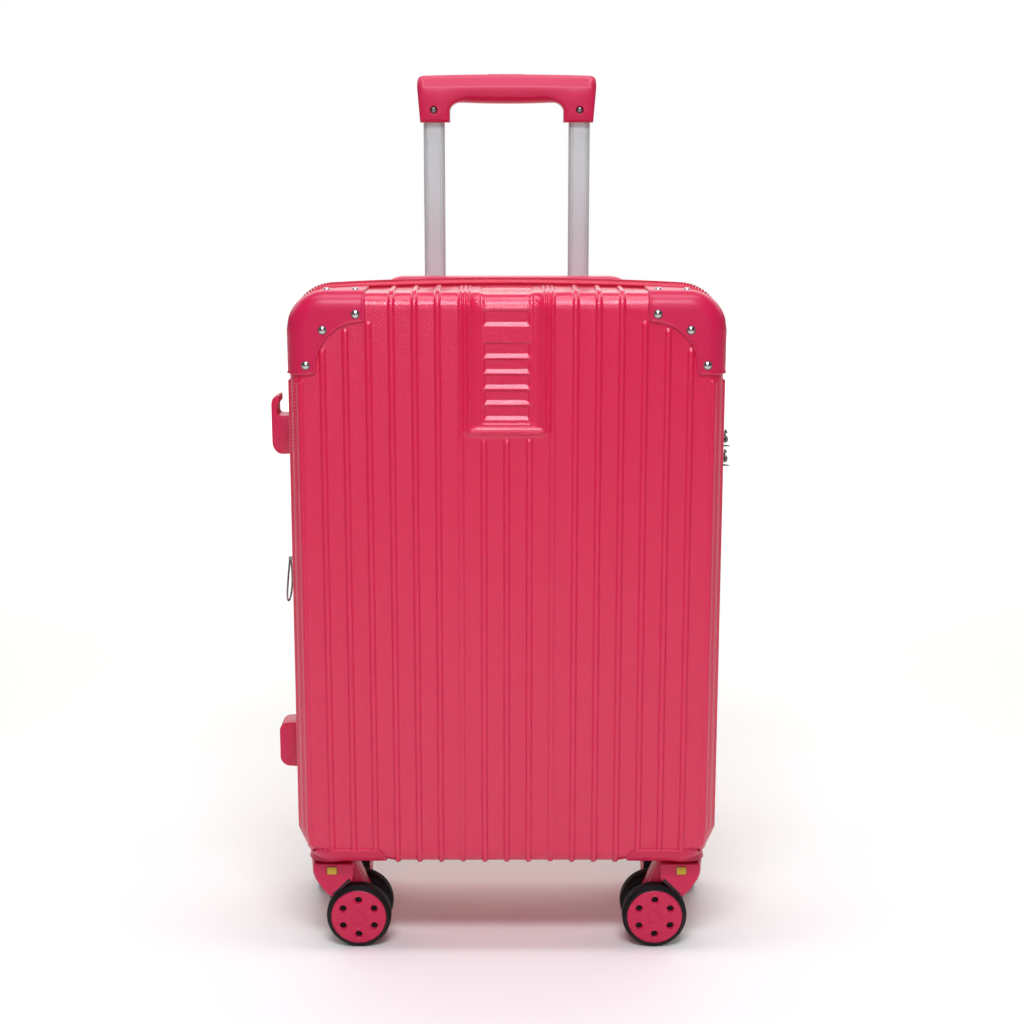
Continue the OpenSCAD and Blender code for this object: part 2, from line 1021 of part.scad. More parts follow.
// Pink cap in the outer face of the wheel, with six holes and a raised ring
module cap() {
    color(guard_col)
        translate([0, 0, wheel_w - cap_t + 0.02])
            difference() {
                cylinder(r = cap_r - 0.05, h = cap_t + 0.2);
                for (i = [0:cap_holes - 1])
                    rotate([0, 0, i * 360 / cap_holes])
                        translate([0, cap_hole_at, -1])
                            cylinder(r = cap_hole_r, h = cap_t + 3);
                translate([0, 0, cap_t - 0.2])
                    difference() {
                        cylinder(r = cap_ring_r, h = 2);
                        translate([0, 0, -1])
                            cylinder(r = cap_ring_r - 0.7, h = 4);
                    }
            }
}

// Casters by corner: side, face, angle of the trail
front_left = [-1, -1, 0];
front_right = [1, -1, 180];
rear_left = [-1, 1, -90];
rear_right = [1, 1, -90];

module place(c) {
    caster_at(c[0], c[1], c[2])
        children();
}

front_shell();
front_corner_guards();
front_rivets();
front_wheel_housings();
front_zip();
hook_foot();
plain_foot();
front_lining();
divider_panel();
rear_shell();
rear_corner_guards();
rear_rivets();
rear_wheel_housings();
rear_zip();
zip_sliders();
outer_tubes();
trolley_bezel();
tube_bracket();
handle_sockets();
lock_body();
rear_lining();
packing_straps();
middle_tubes();
inner_tubes();
grip();
grip_screws();
grip_button();
top_handle();
side_handle();
lock_button();
lock_dial(0);  // lock_dial_1
lock_dial(1);  // lock_dial_2
lock_dial(2);  // lock_dial_3
lock_pull(slider_z[0]);  // upper_zip_pull
lock_pull(slider_z[1]);  // lower_zip_pull
expansion_zip_pull();
place(front_left) fork();  // front_left_fork
place(front_left) axle();  // front_left_axle
place(front_left) wheel_place(-1) tyre();  // front_left_outer_tyre
place(front_left) wheel_place(-1) cap();  // front_left_outer_cap
place(front_left) wheel_place(1) tyre();  // front_left_inner_tyre
place(front_left) wheel_place(1) cap();  // front_left_inner_cap
place(front_right) fork();  // front_right_fork
place(front_right) axle();  // front_right_axle
place(front_right) wheel_place(1) tyre();  // front_right_outer_tyre
place(front_right) wheel_place(1) cap();  // front_right_outer_cap
place(front_right) wheel_place(-1) tyre();  // front_right_inner_tyre
place(front_right) wheel_place(-1) cap();  // front_right_inner_cap
place(rear_left) fork();  // rear_left_fork
place(rear_left) axle();  // rear_left_axle
place(rear_left) wheel_place(-1) tyre();  // rear_left_outer_tyre
place(rear_left) wheel_place(-1) cap();  // rear_left_outer_cap
place(rear_left) wheel_place(1) tyre();  // rear_left_inner_tyre
place(rear_left) wheel_place(1) cap();  // rear_left_inner_cap
place(rear_right) fork();  // rear_right_fork
place(rear_right) axle();  // rear_right_axle
place(rear_right) wheel_place(1) tyre();  // rear_right_outer_tyre
place(rear_right) wheel_place(1) cap();  // rear_right_outer_cap
place(rear_right) wheel_place(-1) tyre();  // rear_right_inner_tyre
place(rear_right) wheel_place(-1) cap();  // rear_right_inner_cap
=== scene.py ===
from math import atan2, cos, hypot, pi, radians, sin, sqrt

import bmesh
import bpy
import numpy as np
from mathutils import Matrix, Vector
from mathutils.geometry import delaunay_2d_cdt


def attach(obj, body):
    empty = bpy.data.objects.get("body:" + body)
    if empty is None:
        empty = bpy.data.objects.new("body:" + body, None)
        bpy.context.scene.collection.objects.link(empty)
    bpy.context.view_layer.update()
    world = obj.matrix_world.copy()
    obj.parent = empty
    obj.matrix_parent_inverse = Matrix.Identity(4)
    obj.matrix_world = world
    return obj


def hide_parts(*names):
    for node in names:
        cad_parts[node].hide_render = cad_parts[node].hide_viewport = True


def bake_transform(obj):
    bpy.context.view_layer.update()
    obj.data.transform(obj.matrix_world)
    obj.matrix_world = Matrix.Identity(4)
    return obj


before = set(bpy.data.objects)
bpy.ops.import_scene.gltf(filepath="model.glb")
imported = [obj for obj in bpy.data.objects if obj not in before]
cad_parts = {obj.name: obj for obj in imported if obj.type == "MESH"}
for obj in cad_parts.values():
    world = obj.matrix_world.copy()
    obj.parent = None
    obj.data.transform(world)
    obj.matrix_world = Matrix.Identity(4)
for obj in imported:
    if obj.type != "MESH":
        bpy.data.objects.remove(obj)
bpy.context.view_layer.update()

# Lengths below are in millimetres; MM turns them into metres when a mesh is made
MM = 0.001
HALF_W, HALF_D = 178, 113.5
LOW, HIGH = 81.5, 561.8
MID = (LOW + HIGH) / 2
CORNER, EDGE = 30, 14
FRONT_RIM, ZIP_Y, EXPAND_Y, REAR_RIM = -27, -12, 4.5, 18
PITCH = 18.75
TUBE_X, TUBE_Y = 64, 90
CASTER_X, CASTER_Y, TRAIL, WHEEL_R = 151.5, 76, 24, 27.8
# Each half of the case: its side along Y, its body, its name and the depth of its rim
HALVES = ((-1, "lid", "front", HALF_D + FRONT_RIM), (1, "rear_case", "rear", HALF_D - REAR_RIM))


def new_object(name, data):
    made = bpy.data.objects.new(name, data)
    bpy.context.scene.collection.objects.link(made)
    return made


# ---- camera, light, floor
def camera():
    data = bpy.data.cameras.new("camera")
    data.lens, data.sensor_width = 68.72, 36
    data.shift_x, data.shift_y = 0.0052, 0.0774
    cam = new_object("camera", data)
    cam.location = (0, -1.685, 0.6635)
    cam.rotation_euler = (radians(77.6), 0, 0)
    bpy.context.scene.camera = cam


def area_light(name, place, aim, size, power, tone=(0.95, 0.925, 1.03)):
    data = bpy.data.lights.new(name, "AREA")
    data.shape, data.size, data.size_y = "RECTANGLE", size[0], size[1]
    data.energy, data.color = power, tone
    light = new_object(name, data)
    light.location = place
    light.rotation_euler = (Vector(aim) - Vector(place)).to_track_quat("-Z", "Y").to_euler()


def studio():
    area_light("key", (0, -1.6, 2.1), (0, -0.1, 0.4), (1, 0.42), 30)
    area_light("overhead", (0, -0.25, 2), (0, -0.05, 0.4), (1.4, 0.4), 14)
    area_light("fill", (0, -3.3, 1.1), (0, 0, 0.4), (0.7, 0.7), 5)
    area_light("front floor", (0, -1.5, 0.75), (0, -1.5, 0), (0.5, 2.2), 3)
    for name, x in (("left strip", -1.45), ("right strip", 1.45)):
        area_light(name, (x, -0.42, 0.55), (0, -0.1, 0.33), (0.1, 1.04), 0.175)
    area_light("far floor", (0, 4.6, 2.6), (0, 4.6, 0), (12, 6), 420, tone=(1, 1, 1))
    backdrop()
    reach = 6
    floor = bpy.data.meshes.new("floor")
    corners = [(-reach, -reach, 0), (reach, -reach, 0), (reach, reach, 0), (-reach, reach, 0)]
    floor.from_pydata(corners, [], [(0, 1, 2, 3)])
    floor.materials.append(floor_with_painted_glow())
    new_object("floor", floor)


def backdrop():
    """White to the camera; it lights the case fully from straight behind and faintly from all other sides"""
    scene = bpy.context.scene
    scene.view_settings.view_transform = "Standard"
    scene.world = bpy.data.worlds.new("studio")
    scene.world.use_nodes = True
    tree = scene.world.node_tree
    sky = tree.nodes["Background"]
    sky.inputs[0].default_value = (1, 1, 1, 1)
    way = axes_of(tree, add(tree, "ShaderNodeTexCoord").outputs["Generated"])[1]
    glow = ramp(tree, way, 0.9, 0.94, low=0.11)
    tree.links.new(calc(tree, "MAXIMUM", glow, camera_ray(tree)), sky.inputs[1])


def floor_with_painted_glow():
    """Pale floor that glows white to the camera in front of the case and far out at its sides, a painted glow
    that runs it into the white backdrop
    """
    mat = finish("floor_with_painted_glow", (0.94, 0.97, 0.9), 0.75, grain=(0.02, 900))
    tree = mat.node_tree
    shader = tree.nodes["Principled BSDF"]
    across, along, _ = axes_of(tree, coordinates(tree))
    # painted glow: the floor emits white to camera rays only, rising in front of the case and far out at its
    # sides
    front = ramp(tree, along, -0.6, -1.8)
    aside = ramp(tree, calc(tree, "ABSOLUTE", across), 0.9, 1.9)
    share = calc(tree, "MULTIPLY", calc(tree, "MAXIMUM", front, aside), camera_ray(tree))
    tree.links.new(share, shader.inputs["Emission Strength"])
    shader.inputs["Emission Color"].default_value = (1, 1, 1, 1)
    return mat


# ---- materials
def add(tree, kind, **inputs):
    """A node; inputs are sockets by name or by number (i0, i1), as values or as sockets to link"""
    node = tree.nodes.new(kind)
    for key, value in inputs.items():
        if key.startswith("set_"):
            setattr(node, key[4:], value)
            continue
        numbered = key[0] == "i" and key[1:].isdigit()
        socket = node.inputs[int(key[1:]) if numbered else key.replace("_", " ")]
        if isinstance(value, bpy.types.NodeSocket):
            tree.links.new(value, socket)
        else:
            socket.default_value = value
    return node


def calc(tree, operation, *values):
    inputs = {"i%d" % i: value for i, value in enumerate(values)}
    return add(tree, "ShaderNodeMath", set_operation=operation, **inputs).outputs[0]


def ramp(tree, value, start, end, low=0, high=1):
    return add(tree, "ShaderNodeMapRange", Value=value, i1=start, i2=end, i3=low, i4=high).outputs[0]


def camera_ray(tree):
    return add(tree, "ShaderNodeLightPath").outputs["Is Camera Ray"]


def coordinates(tree):
    return add(tree, "ShaderNodeTexCoord").outputs["Object"]


def axes_of(tree, where):
    return add(tree, "ShaderNodeSeparateXYZ", Vector=where).outputs


def noise(tree, where, scale, detail, stretch=(1, 1, 1)):
    mapped = add(tree, "ShaderNodeMapping", Vector=where, Scale=stretch).outputs[0]
    return add(tree, "ShaderNodeTexNoise", Vector=mapped, Scale=scale, Detail=detail).outputs[0]


def blended(tree, share, low, high):
    return add(tree, "ShaderNodeMix", set_data_type="RGBA", Factor=share, i6=low, i7=high).outputs[2]


def wave(tree, where, gains):
    """Sine of the sum of the three coordinates, each times its gain"""
    total = None
    for gain, axis in zip(gains, axes_of(tree, where)):
        if gain:
            part = calc(tree, "MULTIPLY", axis, gain)
            total = part if total is None else calc(tree, "ADD", total, part)
    return calc(tree, "SINE", total)


def knurl(tree, where, pitch):
    """Fine slanted lines crossed by fainter ones, about -1 to 1"""
    k = 2 * pi / (1.414 * pitch * MM)
    fainter = calc(tree, "MULTIPLY", wave(tree, where, (k, 0.25 * k, -k)), 0.4)
    return calc(tree, "ADD", wave(tree, where, (k, k, k)), fainter)


def weave(tree, where, pitch):
    """Plain weave of threads at that pitch, from -1 to 1"""
    k = 2 * pi / (pitch * MM)
    return calc(tree, "MULTIPLY", wave(tree, where, (k, k, 0)), wave(tree, where, (0, 0.5 * k, k)))


def finish(name, color, rough, metallic=0, grain=(0.1, 900), pattern=None, tint=0.06, wear=0,
           stretch=(1, 1, 1), coat=0, sheen=0, spec=0.5):
    """A surface with its own grain, colour and roughness variation, wear on edges and, if asked, a pattern.
    grain is its strength and its scale; pattern is a function, its pitch in millimetres and its depth."""
    mat = bpy.data.materials.new(name)
    mat.use_nodes = True
    tree = mat.node_tree
    shader = tree.nodes["Principled BSDF"]
    for socket, value in (("Metallic", metallic), ("Coat Weight", coat), ("Coat Roughness", 0.18),
                          ("Sheen Weight", sheen), ("Specular IOR Level", spec)):
        shader.inputs[socket].default_value = value
    where = coordinates(tree)
    broad = noise(tree, where, 9, 4)
    fine = noise(tree, where, grain[1], 2, stretch)
    low = tuple(c * (1 - tint) for c in color) + (1,)
    high = tuple(min(1, c * (1 + tint)) for c in color) + (1,)
    mottle = broad if wear else fine
    tone = blended(tree, mottle, low, high)
    if wear:
        edge = add(tree, "ShaderNodeNewGeometry").outputs["Pointiness"]
        edge = calc(tree, "MULTIPLY", ramp(tree, edge, 0.52, 0.62), calc(tree, "MULTIPLY", broad, wear))
        tone = blended(tree, edge, tone, tuple(min(1, c * 0.6 + 0.4) for c in color) + (1,))
    tree.links.new(tone, shader.inputs["Base Color"])
    spread = ramp(tree, mottle, 0, 1, low=rough - 0.05, high=rough + 0.05)
    tree.links.new(spread, shader.inputs["Roughness"])
    normal = add(tree, "ShaderNodeBump", Height=fine, Strength=grain[0], Distance=0.0003).outputs[0]
    if pattern:
        draw, pitch, depth = pattern
        relief = draw(tree, where, pitch)
        normal = add(tree, "ShaderNodeBump", Height=relief, Strength=depth, Distance=0.0002,
                     Normal=normal).outputs[0]
    tree.links.new(normal, shader.inputs["Normal"])
    return mat


shell_mat = finish("shell_pattern", (0.67, 0.01, 0.068), 0.2, coat=0.25, pattern=(knurl, 2.1, 0.26),
                   grain=(0.02, 400))
trim_mat = finish("trim_satin", (0.59, 0.009, 0.068), 0.36, spec=0.4, grain=(0.1, 1400), wear=0.3)
zip_mat = finish("zip_fabric", (0.6, 0.012, 0.045), 0.72, pattern=(weave, 0.7, 0.5), tint=0.12, sheen=0.3)
pipe_mat = finish("piping", (0.68, 0.02, 0.065), 0.45, pattern=(weave, 0.9, 0.15), tint=0.08)
teeth_mat = finish("zip_teeth", (0.66, 0.02, 0.07), 0.38, tint=0.1)
lining_mat = finish("lining_cloth", (0.06, 0.062, 0.072), 0.85, pattern=(weave, 1.1, 0.55), tint=0.2,
                    sheen=0.35)
strap_mat = finish("webbing", (0.012, 0.012, 0.014), 0.75, pattern=(weave, 1.6, 0.8), tint=0.25, sheen=0.3)
chrome_mat = finish("chrome", (0.52, 0.51, 0.5), 0.12, metallic=1, grain=(0.02, 900), tint=0.05)
nickel_mat = finish("nickel", (0.3, 0.29, 0.28), 0.22, metallic=1, grain=(0.05, 900), tint=0.1)
steel_mat = finish("steel", (0.5, 0.5, 0.52), 0.3, metallic=1, grain=(0.15, 900),
                   stretch=(0.2, 1, 1), tint=0.08)
screw_mat = finish("dark_steel", (0.22, 0.21, 0.2), 0.3, metallic=1, tint=0.2)
tube_mat = finish("aluminium", (0.61, 0.68, 0.65), 0.36, metallic=0.35, grain=(0.1, 1500),
                  stretch=(1, 1, 0.03), tint=0.04)
black_mat = finish("black_plastic", (0.01, 0.01, 0.011), 0.48, spec=0.3, grain=(0.3, 1200), tint=0.2,
                   wear=0.2)
rubber_mat = finish("tyre_rubber", (0.006, 0.006, 0.006), 0.62, spec=0.2, grain=(0.35, 1100), tint=0.3,
                    wear=0.15)
yellow_mat = finish("yellow_insert", (0.62, 0.42, 0.02), 0.42, tint=0.1)
digit_mat = finish("digit_print", (0.8, 0.8, 0.8), 0.5, grain=(0.05, 900))


# ---- mesh tools
def ease(t):
    t = np.clip(t, 0, 1)
    return t * t * (3 - 2 * t)


def round_angles(n):
    """n angles in radians, once round"""
    return [2 * pi * k / n for k in range(n)]


def spin(degrees, axis):
    return Matrix.Rotation(radians(degrees), 4, axis)


def shift(x, y, z):
    """Move for parts, in millimetres"""
    return Matrix.Translation((x, y, z))


def spot(x, y, z):
    """Place for a piece, given in millimetres"""
    return Matrix.Translation(Vector((x, y, z)) * MM)


def block(lo, hi):
    v = [(x, y, z) for z in (lo[2], hi[2]) for y in (lo[1], hi[1]) for x in (lo[0], hi[0])]
    return v, [(0, 2, 3, 1), (4, 5, 7, 6), (0, 1, 5, 4), (2, 6, 7, 3), (0, 4, 6, 2), (1, 3, 7, 5)]


def prism(outline, lo, hi, axis="y"):
    """Outline given in the other two axes, in X, Y, Z order"""
    order = {"x": (2, 0, 1), "y": (0, 2, 1), "z": (0, 1, 2)}[axis]
    rings = [[tuple((a, b, c)[i] for i in order) for a, b in outline] for c in (lo, hi)]
    n = len(outline)
    ends = [tuple(range(n))[::-1], tuple(range(n, 2 * n))]
    return rings[0] + rings[1], ends + [(i, (i + 1) % n, n + (i + 1) % n, n + i) for i in range(n)]


def loft(rings, closed=False, cap=True):
    """Rings of equal length joined in order"""
    n, m = len(rings[0]), len(rings)
    v = [p for ring in rings for p in ring]
    f = []
    for k in range(m if closed else m - 1):
        a, b = k * n, (k + 1) % m * n
        f += [(a + i, a + (i + 1) % n, b + (i + 1) % n, b + i) for i in range(n)]
    if cap and not closed:
        f += [tuple(range(n))[::-1], tuple(range((m - 1) * n, m * n))]
    return v, f


def grid_faces(rows, cols):
    corners = [i * cols + j for i in range(rows - 1) for j in range(cols - 1)]
    return [(k, k + 1, k + cols + 1, k + cols) for k in corners]


def circle(r, z, n):
    return [(r * cos(w), r * sin(w), z) for w in round_angles(n)]


def turned(profile, n=64, closed=False):
    """Profile of (radius, z) turned about Z; open ends lie on the axis, or the profile is closed to a ring"""
    return loft([circle(r, z, n) for r, z in profile], closed=closed, cap=False)


def pipe(path, r, n=12, closed=False):
    """Round wire along a path"""
    pts = [Vector(p) for p in path]
    m = len(pts)
    rings = []
    side = None
    for i, p in enumerate(pts):
        before, after = (i - 1, (i + 1) % m) if closed else (max(i - 1, 0), min(i + 1, m - 1))
        t = (pts[after] - pts[before]).normalized()
        side = t.orthogonal() if side is None else side
        side = (side - t * side.dot(t)).normalized()
        other = t.cross(side)
        rings.append([tuple(p + (side * cos(w) + other * sin(w)) * r) for w in round_angles(n)])
    return loft(rings, closed=closed)


def moved(part, matrix):
    return [tuple(matrix @ Vector(p)) for p in part[0]], part[1]


def flipped(part):
    return part[0], [f[::-1] for f in part[1]]


def mirrored(part):
    return flipped(([(-x, y, z) for x, y, z in part[0]], part[1]))


def arc(cx, cy, r, a0, a1, n):
    angles = [radians(a0 + (a1 - a0) * i / n) for i in range(n + 1)]
    return [(cx + r * cos(a), cy + r * sin(a)) for a in angles]


def rounded(points, r, n=4):
    """Outline with its corners rounded; r is one radius or one for each corner"""
    out = []
    for i, p in enumerate(points):
        p, a, b = Vector(p), Vector(points[i - 1]), Vector(points[(i + 1) % len(points)])
        cut = r[i] if isinstance(r, (list, tuple)) else r
        cut = min(cut, (a - p).length * 0.48, (b - p).length * 0.48)
        s, e = p + (a - p).normalized() * cut, p + (b - p).normalized() * cut
        out += [tuple(s.lerp(p, k / n).lerp(p.lerp(e, k / n), k / n)) for k in range(n + 1)]
    return out


def round_box(x0, y0, x1, y1, r, n=4):
    return rounded([(x0, y0), (x1, y0), (x1, y1), (x0, y1)], r, n)


def make_mesh(name, parts, mats, bevel=0, segments=3, angle=35, keep_sense=False):
    """One mesh from parts in millimetres, each (vertices, faces) or (vertices, faces, material number).
    Edges over angle stay sharp, and none does at angle 0 or where the faces keep their sense."""
    bm = bmesh.new()
    for part in parts:
        vs = [bm.verts.new(Vector(p) * MM) for p in part[0]]
        for face in part[1]:
            if len(set(face)) > 2:
                try:
                    bm.faces.new([vs[i] for i in face]).material_index = part[2] if len(part) > 2 else 0
                except ValueError:
                    pass
    bmesh.ops.remove_doubles(bm, verts=bm.verts, dist=2e-6)
    bmesh.ops.delete(bm, geom=[v for v in bm.verts if not v.link_faces], context="VERTS")
    if not keep_sense:
        bmesh.ops.recalc_face_normals(bm, faces=bm.faces)
    if bevel:
        sharp = [e for e in bm.edges if len(e.link_faces) == 2 and e.calc_face_angle(0) > radians(30)]
        bmesh.ops.bevel(bm, geom=sharp, offset=bevel * MM, segments=segments, profile=0.5, affect="EDGES",
                        clamp_overlap=True, material=-1)
    else:
        broad = [f for f in bm.faces if len(f.verts) > 12]
        bmesh.ops.triangulate(bm, faces=broad, ngon_method="EAR_CLIP")
    mesh = bpy.data.meshes.new(name)
    bm.to_mesh(mesh)
    bm.free()
    for mat in mats if isinstance(mats, (list, tuple)) else [mats]:
        mesh.materials.append(mat)
    mesh.shade_smooth()
    if angle and not keep_sense:
        mesh.set_sharp_from_angle(angle=radians(angle))
    return mesh


def modified(mesh, *steps):
    """The mesh with modifiers applied"""
    work = new_object("work", mesh)
    for kind, settings in steps:
        modifier = work.modifiers.new(kind.lower(), kind)
        for key, value in settings.items():
            setattr(modifier, key, value)
    bpy.context.view_layer.update()
    made = work.evaluated_get(bpy.context.evaluated_depsgraph_get())
    out = bpy.data.meshes.new_from_object(made)
    for mat in mesh.materials:
        if len(out.materials) < len(mesh.materials):
            out.materials.append(mat)
    bpy.data.objects.remove(work)
    return out


def cut_from(mesh, parts):
    """The mesh minus closed parts"""
    tool = new_object("tool", make_mesh("tool", parts, mesh.materials[0]))
    out = modified(mesh, ("BOOLEAN", {"operation": "DIFFERENCE", "object": tool, "solver": "EXACT"}))
    bpy.data.objects.remove(tool)
    out.shade_smooth()
    out.set_sharp_from_angle(angle=radians(35))
    return out


def piece(name, mesh, body, node, place=None):
    """An object that rides on a body and stands for a CAD node if one is given"""
    o = new_object(name, mesh)
    if place is not None:
        o.matrix_world = place
    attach(o, body)
    if node:
        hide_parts(node)
    return o


def form(name, parts, mats, body, node, slot, **shaping):
    """A piece made of parts; shaping is what make_mesh takes"""
    return piece(name, make_mesh(name, parts, mats, **shaping), body, node)


# ---- the case's form
IN_X, IN_LOW, IN_HIGH = HALF_W - EDGE, LOW + EDGE, HIGH - EDGE
ARC_X, ARC_LOW, ARC_HIGH, ARC_R = HALF_W - CORNER, LOW + CORNER, HIGH - CORNER, CORNER - EDGE
# The wall's thickness, and how far guards and housings stand out of it
INSET, PROUD = 2.4, 1.9


def settle(points):
    """The case draws in a little at its bottom corners, and its top falls a little towards the sides"""
    p = np.array(points, float)
    side, y = np.abs(p[:, 0]), p[:, 1]
    high = ease((p[:, 2] - 490) / 60)
    fall = 4 * (np.minimum(side, 175) / 148) ** 2 * np.clip((y + HALF_D) / 86, 0, 1)
    fall += 5.5 * ease((side - 95) / 30) * ease((y - REAR_RIM) / 27)
    low = ease((115 - p[:, 2]) / 30)
    draft = 0.014 * ease((np.abs(y) - 30) / 70)
    p[:, 0] *= 1 - draft - 0.006 * low * np.clip((side - 110) / 68, 0, 1)
    p[:, 2] -= fall * high + 1.2 * low * (side < 100)
    return [tuple(q) for q in p]


def cup(side, cols, rows, turns, depths, height):
    """A half of the case, or a part of it, as a grid: the big face, the rounded edge, then the walls.
    side is -1 for the front, 1 for the rear. turns are degrees round the edge, depths are along the walls.
    height(x, z, depth, nx, nz) gives how far each point stands out; below -50 there is no surface."""
    x, z = np.meshgrid(np.array(cols, float), np.array(rows, float))
    room = np.sqrt(np.maximum(ARC_R ** 2 - np.clip(np.abs(x) - ARC_X, 0, ARC_R) ** 2, 0)) / ARC_R
    z = np.where(z > ARC_HIGH, ARC_HIGH + (z - ARC_HIGH) * room, z)
    z = np.where(z < ARC_LOW, ARC_LOW + (z - ARC_LOW) * room, z)
    r, c = x.shape
    faces = grid_faces(r, c)
    # The border of the face as (row, column, edge); edges that aren't the case's own get no wall
    loop = [(0, j, 0) for j in range(c)] + [(i, c - 1, 1) for i in range(1, r)]
    loop += [(r - 1, j, 2) for j in range(c - 2, -1, -1)] + [(i, 0, 3) for i in range(r - 2, 0, -1)]
    ends = (rows[0] - IN_LOW, cols[-1] - IN_X, rows[-1] - IN_HIGH, cols[0] + IN_X)
    real = [abs(gap) < 1e-6 for gap in ends]
    bx, bz = (np.array([grid[i, j] for i, j, _ in loop]) for grid in (x, z))
    nx, nz = (bx - np.clip(bx, -ARC_X, ARC_X)) / ARC_R, (bz - np.clip(bz, ARC_LOW, ARC_HIGH)) / ARC_R
    n = len(loop)
    # One layer for the face, then one for each turn and depth: points, normals, depths, nx and nz
    layers = [(np.stack([x.ravel(), np.full(r * c, side * HALF_D), z.ravel()], 1),
               np.tile([0, side, 0], (r * c, 1)), np.zeros(r * c), np.zeros((r * c, 2)))]
    levels = [(radians(a), EDGE * (1 - cos(radians(a)))) for a in turns] + [(pi / 2, d) for d in depths]
    for a, depth in levels:
        off = EDGE * sin(a)
        layers.append((np.stack([bx + nx * off, np.full(n, side * (HALF_D - depth)), bz + nz * off], 1),
                       np.stack([nx * sin(a), np.full(n, side * cos(a)), nz * sin(a)], 1),
                       np.full(n, depth), np.stack([nx, nz], 1)))
    points, normals, deep, lean = map(np.concatenate, zip(*layers))
    previous = [i * c + j for i, j, _ in loop]
    for k in range(len(levels)):
        ring = [r * c + k * n + i for i in range(n)]
        for i in range(n):
            j = (i + 1) % n
            if real[loop[j][2] if j else 3]:
                faces.append((previous[i], ring[i], ring[j], previous[j]))
        previous = ring
    h = height(points[:, 0], points[:, 2], deep, lean[:, 0], lean[:, 1])
    keep = h > -50
    faces = [f for f in faces if all(keep[i] for i in f)]
    part = settle(points + normals * np.where(keep, h, 0)[:, None]), faces
    return flipped(part) if side > 0 else part


def spaced(*groups, gap=0.35, last=None):
    """Sorted values without near repeats, with the last one set exactly if asked"""
    out = []
    for v in sorted(float(v) for g in groups for v in g):
        if not out or v - out[-1] > gap:
            out.append(v)
    return out if last is None else out[:-1] + [last]


def steps(lo, hi, step):
    n = max(1, round((hi - lo) / step))
    return [lo + (hi - lo) * i / n for i in range(n + 1)]


def within(a, b, r):
    """Distance inside both a and b, with a round corner of radius r"""
    return np.maximum(r, np.minimum(a, b)) - np.hypot(np.maximum(r - a, 0), np.maximum(r - b, 0))


def plate_height(d, detail):
    """Height of an applied plate, from the distance d inside its outline and the height of its detail"""
    return np.where(d > -1.3, PROUD - 2.6 + 2.6 * ease(d + 0.1) + detail, -99)


def bead(distance, half=2.95, soft=1.7, tall=1.8):
    return tall * ease((half - distance) / soft)


RIB_OFFSETS = [-3.2, -2.85, -2.45, -2.05, -1.65, -1.25, 1.25, 1.65, 2.05, 2.45, 2.85, 3.2]
# Where the ribs under the guards end, by their number from the middle
RIB_TIPS = {6: 536, 7: 530, 8: 514, 9: 489.5}
SIDE_RIBS = [12 + PITCH * i for i in range(4)]
FRONT_RIB_END, REAR_RIB_END = 76, 85


def vertical_ribs(x, z, depth, last, skip=()):
    h = np.zeros_like(x)
    for i in set(range(-9, 10)) - set(skip):
        past = np.maximum(depth - last, 0)
        if abs(i) in RIB_TIPS:
            past = np.hypot(past, np.maximum(z - RIB_TIPS[abs(i)], 0))
        h = np.maximum(h, bead(np.hypot(x - i * PITCH, past)))
    return h


def side_ribs(z, depth, nx, low=106, high=489):
    ends = np.maximum(np.maximum(z - high, low - z), 0)
    h = np.max([bead(np.hypot(depth - d, ends)) for d in SIDE_RIBS], axis=0)
    return h * ease((np.abs(nx) - 0.75) / 0.2)


# Ladder ornament: the top and bottom of each pocket, the rails beside them and the cross bar under them.
# RIB_TOP is where the three ribs below it end.
POCKETS = [(547.5, 534.6), (522, 509.4), (509, 496.9), (496.5, 484.5), (484.1, 471.9), (471.5, 459.1)]
THIN_RAILS, WIDE_RAIL = (30.4, 34), 37.6
BAR_HALF, BAR_LOW, BAR_HIGH = 32, 447, 454.2
RIB_TOP = 441


def front_height(x, z, depth, nx, nz):
    a = np.abs(x)
    on_face = depth < 0.01
    past = np.maximum(depth - FRONT_RIB_END, 0)
    h = vertical_ribs(x, z, depth, FRONT_RIB_END, skip=(-2, -1, 0, 1, 2))
    for i in (-1, 0, 1):
        away = np.hypot(x - i * PITCH, np.maximum(z - RIB_TOP, 0))
        h = np.maximum(h, bead(away + np.where(z > 500, 99, 0)))
    wide = ease((452 - z) / 6)
    away = np.hypot(a - WIDE_RAIL + 0.1 * wide, past)
    h = np.maximum(h, bead(away, half=1.7 + wide, soft=1.2 + 0.3 * wide, tall=1.4))
    for rail in THIN_RAILS:
        away = np.hypot(a - rail, np.hypot(past, np.maximum(449.5 - z, 0)))
        h = np.maximum(h, bead(away, half=1.6, soft=1.1, tall=1.3))
    bar = np.minimum(np.minimum((BAR_HIGH - z) / 3.6, (z - BAR_LOW) / 1.4), (BAR_HALF - a) / 2.6)
    h = np.maximum(h, 1.7 * np.clip(bar, 0, 1) * on_face)
    channel = within(21.6 - a, z - 456.2, 4)
    h = h - 0.7 * ease((channel + 0.6) / 1.3)
    for top, bottom in POCKETS:
        cut = np.minimum(np.minimum((top - z) / 1.4, (z - bottom) / 4.7), (19.6 - a) / 3.2)
        h = h - 2.3 * np.clip(cut, 0, 1) * on_face
    tongue = within(19.4 - a, z - 549.6, 3)
    h = h - ease(tongue / 1.3) * ease((70 - depth) / 2)
    by_feet = ((z > 416) & (z < 482)) | ((z > 146) & (z < 205))
    feet = (np.abs(depth - 48.5) < 19) & (nx < -0.9) & by_feet
    sides = np.where(feet, 0, side_ribs(z, depth, nx))
    return np.where(sides > 0, np.maximum(h, sides), h)


